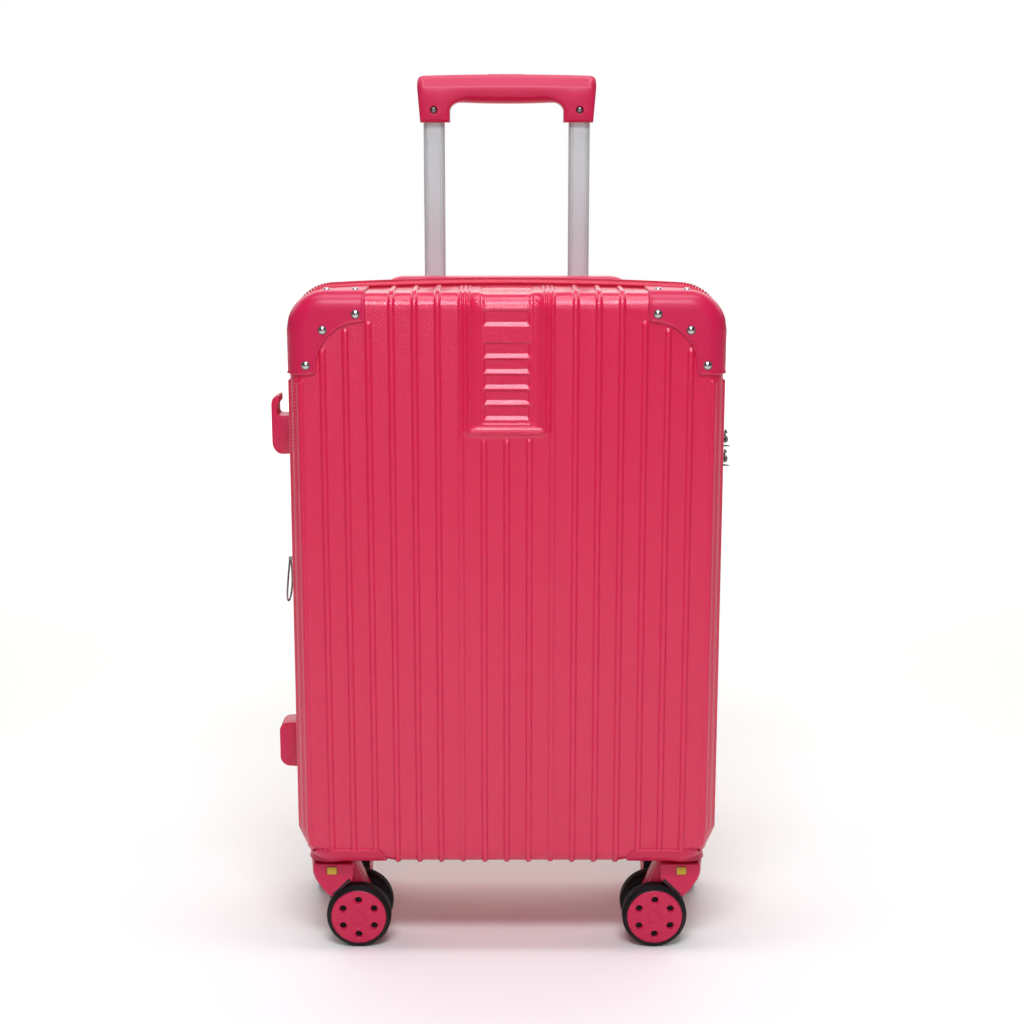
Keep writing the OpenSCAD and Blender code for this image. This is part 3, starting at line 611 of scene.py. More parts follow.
def rear_height(x, z, depth, nx, nz):
    h = vertical_ribs(x, z, depth, REAR_RIB_END)
    top = (nz > 0.9) & (np.abs(x) < 111) & (z > HIGH - 6)
    h = np.where(top, h * ease((5 - depth) / 4), h)
    handle = (nx > 0.9) & (np.abs(depth - 51.5) < 16) & (np.abs(z - MID) < 110)
    lock_room = (nx > 0.9) & (depth > 64) & (z > 374) & (z < 452)
    return np.maximum(h, np.where(handle | lock_room, 0, side_ribs(z, depth, nx)))


CORNER_COLS = [ARC_X + ARC_R * sin(radians(a)) for a in (15, 30, 42, 54, 64, 74, 82, 90)]
LOWER_ROWS = [IN_LOW, 97, 99, 101.5, 103, 104.5, 106, 108, ARC_LOW]
SHELL_TURNS = [5, 9, 12, 15, 18, 21, 24, 28, 34, 41, 48, 55, 62, 68, 73, 78, 82, 86, 90]
PLAIN_TURNS = [15, 30, 45, 60, 75, 90]


def plain_grid(col_step, row_step):
    """Columns and rows of a surface without ribs"""
    corner = CORNER_COLS[:-1]
    cols = [-IN_X, IN_X] + corner + [-c for c in corner] + steps(-140, 140, col_step)
    rows = spaced([IN_LOW, 98, 104, ARC_LOW], steps(ARC_LOW, ARC_HIGH, row_step), [539, 545, IN_HIGH])
    return sorted(cols), rows


def shell_parts(side, rim, height, rows):
    cols = [c * PITCH + o for c in range(-8, 9) for o in RIB_OFFSETS]
    cols += [(c + 0.5) * PITCH for c in range(-8, 8)]
    if side < 0:
        fine = [c + o for c in THIN_RAILS + (WIDE_RAIL,) for o in (-1.6, -1, -0.4, 0.4, 1, 1.6)]
        fine += [15.6, 16.4, 18, 19.6, 20.3, 21, 21.7, 22.3, 29.4, 32]
        cols = [c for c in cols if not 15 < abs(c) < 40 or abs(abs(c) - PITCH) < 3.3]
        cols += fine + [-c for c in fine]
    cols = spaced(cols, CORNER_COLS, [-c for c in CORNER_COLS], gap=0.3)
    cols = [-IN_X] + [c for c in cols if abs(c) < IN_X - 0.3] + [IN_X]
    depths = spaced([d + o for d in SIDE_RIBS[1:] for o in RIB_OFFSETS], [15.2, 17, 22],
                    steps(72, rim - 0.5, 1.6))
    depths = [d for d in depths if d < rim - 0.2] + [rim]
    outer = cup(side, cols, rows, SHELL_TURNS, depths, height)
    plain = plain_grid(28, 42)
    inner = cup(side, *plain, PLAIN_TURNS, [40, rim], lambda x, z, d, nx, nz: np.full_like(x, -INSET))

    def lip_height(x, z, d, nx, nz):
        return np.where(d > rim + 5e-5, -INSET, np.where(d > rim - 1e-3, 0, -99))
    return [outer, flipped(inner), cup(side, *plain, [90], [rim, rim + 1e-4], lip_height)]


def shells():
    fine = [RIB_TOP + o for o in (-1, 0, 0.8, 1.6, 2.4, 3.2)]
    fine += [447, 447.7, 448.4, 449.4, 450.6, 452.4, 454.2, 455.2, 455.8, 456.4, 457.2, 458]
    for top, bottom in POCKETS:
        fine += [top + o for o in (0.3, 0, -0.7, -1.4, -1.8)]
        fine += [bottom + o for o in (5.1, 4.7, 4.2, 2.4, 0.5, 0, -0.35)]
    fine += steps(486, 541, 1.5) + steps(541, IN_HIGH, 1.2)
    front_rows = spaced(fine, LOWER_ROWS, steps(120, 430, 31), gap=0.3, last=IN_HIGH)
    rear_rows = spaced(LOWER_ROWS, steps(120, 480, 30), steps(486, IN_HIGH, 1.7), gap=0.3, last=IN_HIGH)
    forms = ((front_height, front_rows), (rear_height, rear_rows))
    for (side, body, name, rim), (height, rows) in zip(HALVES, forms):
        form(name + "_shell_moulded", shell_parts(side, rim, height, rows), shell_mat, body, name + "_shell",
             "shell", keep_sense=True)


# ---- guards, housings, rivets
def guard_inside(x, z):
    """Distance inside the guard's outline, which is hollowed by a round bay at its inner corner"""
    radius = 36.5
    dx, dz = np.abs(x) - 118.5, z - 501
    bow = np.hypot(np.maximum(dx, 0), np.maximum(dz, 0)) - radius
    bay = np.where(dx <= 0, dz - radius, np.where(dz <= 0, dx - radius, bow))
    return within(within(np.abs(x) - 114.6, bay, 4), z - 495.5, 4)


def guards():
    cols = spaced([113.4, 114, 114.6, 115.1, 115.6, 116.4, 117.3, 118.2], steps(119, IN_X, 0.75),
                  gap=0.3, last=IN_X)
    rows = spaced([494.4, 495, 495.5, 496, 496.6, 497.4, 498.2, 499], steps(499.6, IN_HIGH, 0.75),
                  gap=0.3, last=IN_HIGH)
    for side, body, name, rim in HALVES:
        def height(x, z, depth, nx, nz):
            d = within(guard_inside(x, z), rim - depth, 1)
            return plate_height(d, 0.55 * ease(1 - np.abs(d - 1.5) / 1.3))
        depths = [20, 30, 42, 54, 66] + [rim - d for d in (12, 5, 3.4, 2.7, 2, 1.2, 0.7, 0.3, 0)]
        right = cup(side, cols, rows, range(6, 91, 6), depths, height)
        form(name + "_guard_mouldings", [right, mirrored(right)], trim_mat, body, name + "_corner_guards",
             "trim", keep_sense=True)


def wall_bottom(x, y):
    """Height of the middle of the wall under the case; the case is drawn in by about 2 per cent there"""
    across = min(max(abs(x) * 1.02 - ARC_X, 0), CORNER - 1)
    along = min(max(abs(y) - (HALF_D - EDGE), 0), EDGE - 1)
    return LOW + 1.2 + CORNER - sqrt(CORNER ** 2 - across ** 2) + EDGE - sqrt(EDGE ** 2 - along ** 2)


def housing_seat(side):
    """Seat over the caster: a flat rim, a bowl that widens upwards, and a roof held inside the case's wall"""
    rings = []
    bowl = [(14, 75.2, 0), (18.6, 75.2, 0), (19.4, 75.7, 0.2), (19.9, 77, 0.9), (21, 79.5, 2.6),
            (23.6, 83, 5.2), (25.5, 86, 7)]
    roof = [(r, 99, 7.4) for r in (25.6, 20, 14, 8, 2)]
    for r, z, inward in bowl + roof:
        centre_x, centre_y = CASTER_X - inward, side * (CASTER_Y - inward * 0.25)
        ring = [(centre_x + x, centre_y + y * 0.98) for x, y, _ in circle(r, z, 56)]
        rings.append([(x, y, min(z, wall_bottom(x, y))) for x, y in ring])
    return loft(rings)


def housings():
    deep = 73

    def height(x, z, depth, nx, nz):
        outline = within(np.abs(x) - 103, 94.5 - z, 11)
        d = within(outline, deep - depth, 3)
        return plate_height(d, -0.3 * ease(1 - np.abs(d - 2.2) / 0.6))
    turns = [1, 2, 3, 4, 5, 6, 7, 8, 10, 12, 15, 19, 24, 30, 37, 45, 53, 61, 69, 77, 84, 90]
    depths = [18, 26, 34, 44, 54, 64, 69, 70.5, 71.5, 72.2, deep, 73.6]
    cols = spaced([102, 102.6, 103, 103.5, 104, 104.7, 105.5], steps(106.3, 114.5, 0.8),
                  steps(116, IN_X, 3), CORNER_COLS, gap=0.3, last=IN_X)
    rows = spaced([IN_LOW, 96.2, 97, 98, 99.5, 101.5, 104, 107, ARC_LOW, 114], gap=0.3)
    for side, body, name, _ in HALVES:
        right = cup(side, cols, rows, turns, depths, height)
        seat = housing_seat(side)
        form(name + "_housing_mouldings", [right, mirrored(right), seat, mirrored(seat)], trim_mat, body,
             name + "_wheel_housings", "trim", angle=50)


def settle_part(part):
    return settle(part[0]), part[1]


def rivets():
    head = turned([(0, 1.75), (0.8, 1.7), (1.5, 1.5), (2.2, 1.15), (2.75, 0.7), (3, 0.35), (3.05, 0.2),
                   (3.6, 0.2), (3.7, 0.05), (3.7, -0.4), (0, -0.4)], 32)
    for side, body, name, _ in HALVES:
        parts = []
        for s in (-1, 1):
            spots = [((s * x, side * (HALF_D + PROUD), z), (0, side, 0))
                     for x, z in ((122.5, 544.5), (149.5, 531.8), (163.6, 503.6))]
            spots += [((s * x, side * (HALF_D - 16), HIGH + PROUD), (0, 0, 1)) for x in (123.5, 147)]
            for at, way in spots:
                turn = Vector(way).to_track_quat("Z", "X").to_matrix().to_4x4()
                parts.append(settle_part(moved(head, shift(*at) @ turn)))
        form(name + "_rivet_heads", parts, chrome_mat, body, name + "_rivets", "chrome", angle=40)


# ---- zip band
def outline_point(s, off):
    """Point and outward normal on the case's front outline, at a share s of the way round, offset outwards"""
    w, h = ARC_X, (ARC_HIGH - ARC_LOW) / 2
    legs = [2 * w, pi / 2 * CORNER, 2 * h, pi / 2 * CORNER] * 2
    d = s % 1 * sum(legs)
    for k, leg in enumerate(legs):
        if d <= leg:
            break
        d -= leg
    ways = [Vector(way) for way in ((0, 1), (1, 0), (0, -1), (-1, 0), (0, 1))]
    n0, n1 = ways[k // 2], ways[k // 2 + 1]
    p = Vector(((w, h), (w, -h), (-w, -h), (-w, h))[k // 2])
    if k % 2 == 0:
        p, n = p - n1 * (leg - d), n0
    else:
        n = n0 * cos(d / CORNER) + n1 * sin(d / CORNER)
    p = p + n * (CORNER + off)
    return p.x, p.y + MID, n


def raised(z):
    """The band stands a little higher along the top"""
    return z + 0.6 * float(ease((z - 550) / 8))


def belt(profile, count=360):
    """Closed band round the case; profile is a loop of (y, offset)"""
    rings = []
    for k in range(count):
        points = [(y, outline_point(k / count, off)) for y, off in profile]
        rings.append(settle([(x, y, raised(z)) for y, (x, z, _) in points]))
    return loft(rings, closed=True)


def cord(y, off, r, n=6):
    """Round cord along the band"""
    return belt([(y + r * cos(w), off + r * sin(w)) for w in round_angles(n)])


def teeth(y, lean, count=680, off=4.3, start=0):
    """One row of zip teeth, each a small block that leans towards the other row"""
    v, f = [], []
    for k in range(count):
        x, z, n = outline_point((k + start) / count, off)
        t = Vector((n.y, -n.x))
        for dy, half, rise in ((-1, 0.55, 1.1), (1, 0.45, 0.9)):
            for sy, sx in ((-1, -1), (1, -1), (1, 1), (-1, 1)):
                p = Vector((x, z)) + t * half * sy + n * rise * sx
                v.append((p.x, y + dy * lean, raised(p.y)))
        b = len(v) - 8
        f += [(b, b + 1, b + 2, b + 3), (b + 7, b + 6, b + 5, b + 4)]
        f += [(b + i, b + 4 + i, b + 4 + (i + 1) % 4, b + (i + 1) % 4) for i in range(4)]
    return settle(v), f


def zips():
    mats = [zip_mat, pipe_mat, teeth_mat]
    r, e, q = FRONT_RIM, EXPAND_Y, REAR_RIM
    tape = [(r + 0.4, -1), (r + 2.4, 1.8), (r + 5, 2.6), (r + 9.5, 3), (-13.6, 3.1), (-12.8, 2.7),
            (-12.6, -1)]
    parts = [belt(tape) + (0,), cord(r + 1.7, 1.9, 1.75, 10) + (1,), cord(r + 4.6, 2.35, 0.55) + (1,),
             cord(-16.2, 3.2, 0.5) + (1,), teeth(-13.2, 1) + (2,)]
    form("front_zip_band", parts, mats, "lid", "front_zip", "zip_fabric", angle=50)
    tape = [(-11.4, -1), (-11.2, 2.7), (-10.4, 3.1), (e - 3, 2.9), (e - 2.4, 2.3), (e + 2.4, 2.3),
            (e + 3, 2.9), (q - 4.5, 2.7), (q - 2.4, 1.8), (q - 0.4, -1)]
    parts = [belt(tape) + (0,), cord(q - 1.7, 1.9, 1.75, 10) + (1,), teeth(-10.8, -1, start=0.5) + (2,),
             teeth(e - 0.85, 1, off=2.4) + (2,), teeth(e + 0.85, -1, off=2.4, start=0.5) + (2,)]
    parts += [cord(y, 2.9, 0.5) + (1,) for y in (-7.8, e - 3.4, e + 3.4)]
    form("rear_zip_band", parts, mats, "rear_case", "rear_zip", "zip_fabric", angle=50)


# ---- feet, handles, lock
def feet():
    wall, out, mid = -HALF_W, -194, -65
    root = wall + INSET
    hook = rounded([(root, 427), (out + 5, 426.5), (out, 432.5), (out - 0.2, 470), (out + 2, 474.2),
                    (wall - 9.6, 475.2), (wall - 9.3, 469.5), (wall - 11, 468.2), (wall - 11.6, 466),
                    (wall - 11.4, 460), (wall - 9.5, 458.8), (root, 458.4)],
                   [0, 4, 4, 3, 2, 0.8, 0.8, 0.8, 1, 1.2, 1, 0])
    plain = rounded([(root, 156), (out + 4.5, 157), (out, 162), (out, 190.5), (out + 3.5, 195), (root, 196)],
                    [0, 4, 4, 4, 4, 0])
    for name, outline, z0, z1 in (("hook_foot", hook, 423.6, 461), ("plain_foot", plain, 153.5, 197.5)):
        flange = round_box(root, z0, wall - 1.4, z1, 0.6)
        parts = [prism(outline, mid - 13, mid + 13), prism(flange, mid - 14.5, mid + 14.5)]
        for y in (mid - 7.5, mid + 7.5):
            parts.append(block((out - 0.3, y - 0.9, z0 + 14), (out + 2, y + 0.9, z1 - 8)))
        form(name + "_moulding", parts, trim_mat, "lid", name, "trim", bevel=0.9, angle=40)


def grip_outline():
    """Front outline of the grip, with points about 3 mm apart"""
    half, top, leg, under = 78.5, 738, 697, 713.2
    right = [(76, leg), (50, leg)] + arc(41.5, 705.2, 8.8, 0, 90, 7)[1:]
    left = [(-x, z) for x, z in right[::-1]]
    belly = [(x, under + 0.8 * (x / 38) ** 2) for x in steps(38, -38, -7.6)]
    crest = [(x, top - 1.3 * (abs(x) / half) ** 2) for x in steps(6 - half, half - 6, (half - 6) / 6)]
    corner = [(-half, 727), (-half + 0.2, 733.2), (-half + 2, 735.9)]
    far_corner = [(-x, z) for x, z in corner[::-1]]
    outline = right + belly + left + [(-77.3, 712)] + corner + crest + far_corner + [(77.3, 712)]
    pts = []
    for a, b in zip(outline, outline[1:] + outline[:1]):
        a, b = Vector(a), Vector(b)
        span = max(1, round((b - a).length / 3))
        pts += [tuple(a.lerp(b, k / span)) for k in range(span)]
    return pts[::-1]


def grip_rings(pts):
    """The outline repeated through the grip's thickness, drawn in towards the front and the back"""
    normals = []
    for i in range(len(pts)):
        t = Vector(pts[(i + 1) % len(pts)]) - Vector(pts[i - 1])
        normals.append(Vector((t.y, -t.x)).normalized())
    levels = [0, 4.5, 6.8, 8.2, 9.6, 11, 12, 12.7, 13]
    rings = []
    for level in [-y for y in levels[:0:-1]] + levels:
        y = abs(level)
        side_in = 0 if y < 10 else 3.2 * (1 - sqrt(max(0, 1 - ((y - 10) / 3) ** 2)))
        under_in = 0 if y < 3 else 8.5 * (1 - sqrt(max(0, 1 - ((y - 3) / 10.4) ** 2)))
        top_in = 0.35 * max(0, y - 7) ** 0.5 if y < 7.5 else (y - 7.5) / 5.5 * 10.2 + 0.25
        ring = []
        for (x, z), n in zip(pts, normals):
            bar = float(ease((46 - abs(x)) / 12))
            inset = side_in
            if n.y > 0:
                inset += (top_in - side_in) * min(1, n.y * 1.4) ** 2
            elif bar > 0:
                inset += (under_in - side_in) * bar * min(1, -n.y * 1.2)
            ring.append((x - n.x * min(inset, 4.5), TUBE_Y + level, z - n.y * inset))
        rings.append(ring)
    return rings


def screw_place(side):
    return shift(side * TUBE_X, TUBE_Y - 10.9, 707.5) @ spin(90, "X")


def grip():
    rings = grip_rings(grip_outline())
    parts = [loft(rings, cap=False)]
    for ring in (rings[0], rings[-1]):
        flat = delaunay_2d_cdt([Vector((x, z)) for x, _, z in ring], [], [list(range(len(ring)))], 1, 1e-4)
        parts.append(([(p.x, ring[0][1], p.y) for p in flat[0]], [tuple(f) for f in flat[2]]))
    well = turned([(0, 0), (3.4, 0), (3.4, 1.7), (4.2, 2.4), (4.2, 6), (0, 6)], 32)
    mesh = make_mesh("grip", parts, trim_mat, angle=38)
    mesh = cut_from(mesh, [moved(well, screw_place(s)) for s in (-1, 1)])
    mesh = cut_from(mesh, [prism(round_box(-16.4, 84.1, 16.4, 95.9, 2.4), 728.6, 760, "z")])
    piece("grip_moulding", mesh, "pull_handle", "grip")
    button = [prism(round_box(-15.9, 84.6, 15.9, 95.4, 2.2), 732.8, 738.25, "z")]
    button += [block((x - 0.5, 87, 737.9), (x + 0.5, 93, 738.5)) for x in (-6, -3, 0, 3, 6)]
    form("release_button_cap", button, trim_mat, "release_button", "grip_button", "trim", bevel=0.25,
         angle=40)


def screws():
    """The two screws of the grip, with a cross recess"""
    profile = [(0, 1.35), (1.6, 1.25), (2.6, 0.8), (3.1, 0.2), (3.1, 0), (1.4, 0), (1.4, -6), (0, -6)]
    arm, half = 1.9, 0.4
    corner = [(half, half), (half, arm), (-half, arm), (-half, half), (-arm, half), (-arm, -half)]
    cross = prism(corner + [(-x, -y) for x, y in corner], 0.5, 3, "z")
    turns = [screw_place(s) @ Matrix.Rotation(0.5 * s, 4, "Z") for s in (-1, 1)]
    mesh = make_mesh("screws", [moved(turned(profile, 40), turn) for turn in turns], screw_mat)
    mesh = cut_from(mesh, [moved(cross, turn) for turn in turns])
    piece("grip_screw_heads", mesh, "pull_handle", "grip_screws")


def tube_outline(side, w, t, r, groove=None):
    """Rounded box section of one tube; groove is a place, a width and a depth on each wide side"""
    half, deep = w / 2, t / 2
    out = []
    for sx, sy, a0 in ((1, -1, -90), (1, 1, 0), (-1, 1, 90), (-1, -1, 180)):
        out += arc(sx * (half - r), sy * (deep - r), r, a0, a0 + 90, 5)
        if groove and sx == sy:
            at, width, cut = groove
            for c in (sx * at, -sx * at):
                out += [(c + sx * width * share, sy * (deep - sink))
                        for share, sink in ((1 / 2, 0), (1 / 3, cut), (-1 / 3, cut), (-1 / 2, 0))]
    return [(x + side * TUBE_X, y + TUBE_Y) for x, y in out]


def tubes():
    w, t = 18.6, 12
    parts = []
    for s in (-1, 1):
        parts.append(prism(tube_outline(s, w, t, 2.4, (6.1, 1.7, 1.1)), 225, 712, "z"))
        for x in (s * TUBE_X - 4.6, s * TUBE_X + 4.6):
            parts.append(block((x - 0.12, TUBE_Y - 6.06, 226), (x + 0.12, TUBE_Y - 5.9, 711)))
    form("inner_tube_profiles", parts, tube_mat, "pull_handle", "inner_tubes", "tube", angle=30)
    for name, grow, z0, z1, body in (("middle", 2.6, 91.9, 562.1, "middle_stage"),
                                     ("outer", 5.2, 89.9, 560.3, "rear_case")):
        parts = []
        for s in (-1, 1):
            out = tube_outline(s, w + grow, t + grow, 3)
            bore = tube_outline(s, w - 2 + grow, t - 2 + grow, 2.4)
            ends = ((z0, bore), (z0, out), (z1 - 0.3, out), (z1, out), (z1, bore))
            parts.append(loft([[(x, y, z) for x, y in line] for z, line in ends], closed=True))
        form(name + "_tube_profiles", parts, tube_mat, body, name + "_tubes", "tube", angle=30)
    plate = settle_part(prism(round_box(-90, 76, 90, 104, 11, 6), HIGH - 0.2, HIGH + 1, "z"))
    holes = [prism(tube_outline(s, 21.8, 15.2, 3), 555, 570, "z") for s in (-1, 1)]
    mesh = cut_from(make_mesh("bezel", [plate], trim_mat, bevel=0.4), holes)
    piece("trolley_bezel_plate", mesh, "rear_case", "trolley_bezel")


def carry(name, body, node, place):
    """Carry handle along X: a soft arched grip between two end blocks, on two posts"""
    rings = []
    reach, low = 99.5, 0.55
    for i, x in enumerate(steps(-reach, reach, reach / 20)):
        t = abs(x) / reach
        half = 12 if t < 0.72 else 12 - 1.2 * (t - 0.72) / 0.28
        top = 4.3 - 2 * max(0, (t - 0.9) / 0.1) ** 2
        ridge = 0 if t > 0.6 or i % 2 else 0.35
        left = [(-half + 0.8, low), (-half, low + 0.6), (-half, top - 1.6), (-half + 0.6, top - 0.7),
                (-half + 2.2, top - 0.15), (-half + 5, top - ridge)]
        right = [(-y, z) for y, z in left[::-1]]
        ring = left[1:] + [(0, top - ridge * 0.6)] + right + left[:1]
        rings.append([(x, y, z) for y, z in ring])
    post = turned([(0, -21.5), (2.4, -21.5), (3, -21), (3, 2), (0, 2)], 24)
    parts = [loft(rings)] + [moved(post, shift(s * 90, 0, 0)) for s in (-1, 1)]
    piece(name, make_mesh(name, parts, trim_mat, angle=40), body, node, place)


def dial_mesh():
    """Number wheel with ten notches round its rim"""
    n = 80
    profile = ((1.05, -2), (4.9, -2), (5.45, -1.5), (5.45, 1.5), (4.9, 2), (1.05, 2))
    rings = [circle(r, z, n) for r, z in profile]
    bitten = circle(5, 0, n)
    for ring in rings[2:4]:
        for i in range(n):
            if i % 8 in (0, 7):
                ring[i] = bitten[i][:2] + (ring[i][2],)
    return make_mesh("dial", [loft(rings, closed=True)], steel_mat, angle=40)


def lock():
    y, dial_x, dial_zs = 38, 184, (390, 396, 402)
    body = prism(round_box(19, 380, 47, 446, 5, 5), HALF_W, 187, "x")
    wells = [block((181, y - 6, z - 2.3), (190, y + 6, z + 2.3)) for z in dial_zs]
    wells.append(block((183.6, y - 5.3, 427.6), (190, y + 5.3, 442.3)))
    wells.append(prism(round_box(20.5, 404, 27, 440, 2), 186.2, 190, "x"))
    mesh = cut_from(make_mesh("lock", [body], black_mat, bevel=1.2), wells)
    piece("lock_housing", mesh, "rear_case", "lock_body")
    for k, z in enumerate(dial_zs):
        dial = "dial_%d" % (k + 1)
        piece(dial + "_wheel", dial_mesh(), dial, "lock_" + dial, spot(dial_x, y, z))
        digits(dial, 3 * k, Vector((dial_x, y, z)))


def digits(dial, first, centre):
    """Numbers from 0 to 9 round a dial"""
    text = bpy.data.curves.new("digit", "FONT")
    text.size, text.align_x, text.align_y, text.extrude = 0.003, "CENTER", "CENTER", 0.00006
    work = new_object("digit_work", text)
    bm = bmesh.new()
    for i in range(10):
        text.body = str((i + first) % 10)
        bpy.context.view_layer.update()
        made = work.evaluated_get(bpy.context.evaluated_depsgraph_get())
        drawn = bpy.data.meshes.new_from_object(made)
        a = radians(36 * i + 18)
        way = Vector((cos(a), sin(a), 0))
        turn = Matrix(((-sin(a), cos(a), 0), (0, 0, 1), way)).transposed().to_4x4()
        drawn.transform(spot(*(centre + way * 5.5)) @ turn @ Matrix.Scale(0.85, 4))
        bm.from_mesh(drawn)
    mesh = bpy.data.meshes.new(dial + "_digits")
    bm.to_mesh(mesh)
    bm.free()
    bpy.data.objects.remove(work)
    mesh.materials.append(digit_mat)
    piece(dial + "_digits", mesh, dial, None)


# ---- casters
def fork_mesh():
    neck = turned([(0, 78.4), (4.6, 78.4), (5, 78), (5, 74.6), (16.9, 74.6), (17.7, 73.8), (17, 60), (15, 54),
                   (0, 54)], 56)
    hood = rounded([(-14.8, 74.3), (-14.2, 66.5), (-11.4, 58.6), (-6.6, 51.2), (-1.8, 46.2), (0.5, 44.6),
                    (2.8, 45.6), (18.6, 59.6), (19.5, 62), (19.5, 74.3)], [1, 3, 3, 3, 2, 1.5, 1.5, 2, 2, 1])
    web = rounded([(6, 74), (21, 74), (25.4, 64.5), (28.5, 58), (34.5, 45), (35.5, 28), (31, 20.5),
                   (24, 18.3), (17, 20.5), (12.5, 28), (10, 44)], [2, 4, 4, 4, 4, 6, 5, 5, 5, 6, 4])
    cheek = rounded([(14, 74), (20.6, 74), (24.6, 64.5), (27.5, 58), (30, 52), (20, 48), (15, 56)],
                    [1, 3, 3, 3, 2, 2, 2])
    parts = [neck, prism(hood, -20.6, 20.6), prism(web, -6.9, 6.9), prism(cheek, -12.5, 12.5)]
    mesh = modified(make_mesh("fork", parts, trim_mat, angle=0),
                    ("REMESH", {"mode": "VOXEL", "voxel_size": 0.75 * MM}), ("SMOOTH", {"iterations": 3}))
    mesh.shade_smooth()
    return mesh


def insert_and_shadow_strip_mesh():
    """On each side of the hood a yellow insert in its dark frame, and a black strip along its lower edge that
    is painted shadow, standing for the shade under the hood
    """
    rim, pad = round_box(-3, 64.9, 5.9, 72.1, 1), round_box(-2.6, 65.3, 5.5, 71.7, 0.9)
    # gap outlines the black strip of painted shadow under the hood's lower edge
    gap = rounded([(0.9, 46.8), (2.9, 46.4), (17.6, 59.3), (16, 61.6)], 0.5)
    parts = []
    for side in (-1, 1):
        for outline, proud, mat in ((rim, 0.3, 1), (pad, 0.8, 0), (gap, 0.12, 1)):
            lo, hi = sorted((side * 20.2, side * (20.6 + proud)))
            parts.append(prism(outline, lo, hi) + (mat,))
    return make_mesh("inserts_and_shadow_strips", parts, [yellow_mat, black_mat], bevel=0.15, segments=2)


def tyre_mesh():
    """Tyre and hub, with six spokes on the hub's inner side"""
    hub = [(3.06, 0.6), (7, 0.6), (7.4, 1.2), (7.4, 3), (19.5, 3.4), (20.6, 1.4), (21.2, 0.5),
           (24.2, 0.2), (25.2, 0.6), (26, 1.6), (26.6, 2.4), (27.1, 2.6), (27.6, 3.4), (27.8, 4.6),
           (27.8, 12.4), (27.6, 13.6), (27, 14.3), (26.5, 14.5), (26.1, 15.2), (25.4, 16.3), (24.6, 16.9),
           (24.1, 16.9), (23.95, 16.3), (23.95, 14.25), (3.06, 14.25)]
    spoke = block((7, -0.9, 1.2), (20.2, 0.9, 3.6))
    parts = [turned(hub, 96, closed=True)] + [moved(spoke, spin(60 * k + 30, "Z")) for k in range(6)]
    return make_mesh("tyre", parts, rubber_mat, angle=32)


def cap_mesh():
    """Wheel cap with a turned groove and six holes"""
    face = [(0, 17.5), (5.3, 17.48), (5.6, 17.42), (5.85, 17.15), (6.15, 17.15), (6.4, 17.4), (8.5, 17.38),
            (10.5, 17.36), (12, 17.34), (13.5, 17.31), (15.5, 17.28), (17.5, 17.25), (19.3, 17.22),
            (21, 17.17), (22.2, 17.1), (23, 16.95), (23.6, 16.6), (23.85, 16.1), (23.85, 14.3), (0, 14.3)]
    hole = turned([(0, 13), (2.75, 13), (2.75, 16.1), (2.95, 16.5), (3.7, 17.5), (3.7, 19), (0, 19)], 32)
    holes = [moved(hole, spin(60 * k, "Z") @ shift(0, 15.5, 0)) for k in range(6)]
    return cut_from(make_mesh("cap", [turned(face, 96)], trim_mat, angle=32), holes)


def casters():
    fork, tyre, cap, inserts_and_shadow_strips = fork_mesh(), tyre_mesh(), cap_mesh(), insert_and_shadow_strip_mesh()
    race = turned([(5.2, 74.6), (16.4, 74.6), (16.6, 74.8), (16.4, 75.1), (5.2, 75.1), (5.2, 74.6)], 48)
    washer = make_mesh("race", [race], steel_mat)
    for name, sx, sy, heading in (("front_left", -1, -1, 0), ("front_right", 1, -1, 180),
                                  ("rear_left", -1, 1, -90), ("rear_right", 1, 1, -90)):
        place = spot(sx * CASTER_X, sy * CASTER_Y, 0) @ spin(heading, "Z")
        body = name + "_caster"
        piece(name + "_fork_casting", fork, body, name + "_fork", place)
        # this piece also holds the black strips of painted shadow under the hood
        piece(name + "_inserts", inserts_and_shadow_strips, body, None, place)
        piece(name + "_race", washer, body, None, place)
        for side in (-1, 1):
            wheel = name + ("_outer" if side == sx else "_inner")
            at = place @ spot(TRAIL, side * 8, WHEEL_R) @ spin(-side * 90, "X")
            piece(wheel + "_tyre_rubber", tyre, wheel + "_wheel", wheel + "_tyre", at)
            piece(wheel + "_hub_cap", cap, wheel + "_wheel", wheel + "_cap", at)


def linings():
    def height(x, z, depth, nx, nz):
        ripple = 0.35 * np.sin(x / 17 + 0.8 * np.sin(z / 41)) * np.sin(z / 23 + 0.5)
        return ripple * (depth < 0.01) - 3.1
    for side, body, name, rim in HALVES:
        cloth = flipped(cup(side, *plain_grid(14, 14), PLAIN_TURNS, [40, rim - 0.6], height))
        o = form(name + "_lining_cloth", [cloth], lining_mat, body, name + "_lining", "lining",
                 keep_sense=True)


def tunnel():
    """Cloth over the tubes, turned back to the lining at its sides"""
    rows = steps(88, 556, 12)
    cols = [-86, -85.4, -84, -80] + steps(-70, 70, 10) + [80, 84, 85.4, 86]
    points = []
    for z in rows:
        for x in cols:
            edge = max(0, abs(x) - 80) / 6
            y = 74.6 + 0.7 * sin(x / 13) * sin(z / 31) * (1 - edge) + 33 * edge ** 4
            points.append((x, y, z))
    cloth = (points, grid_faces(len(rows), len(cols)))
    o = form("tunnel_cover", [cloth], lining_mat, "rear_case", None, "lining", angle=0)


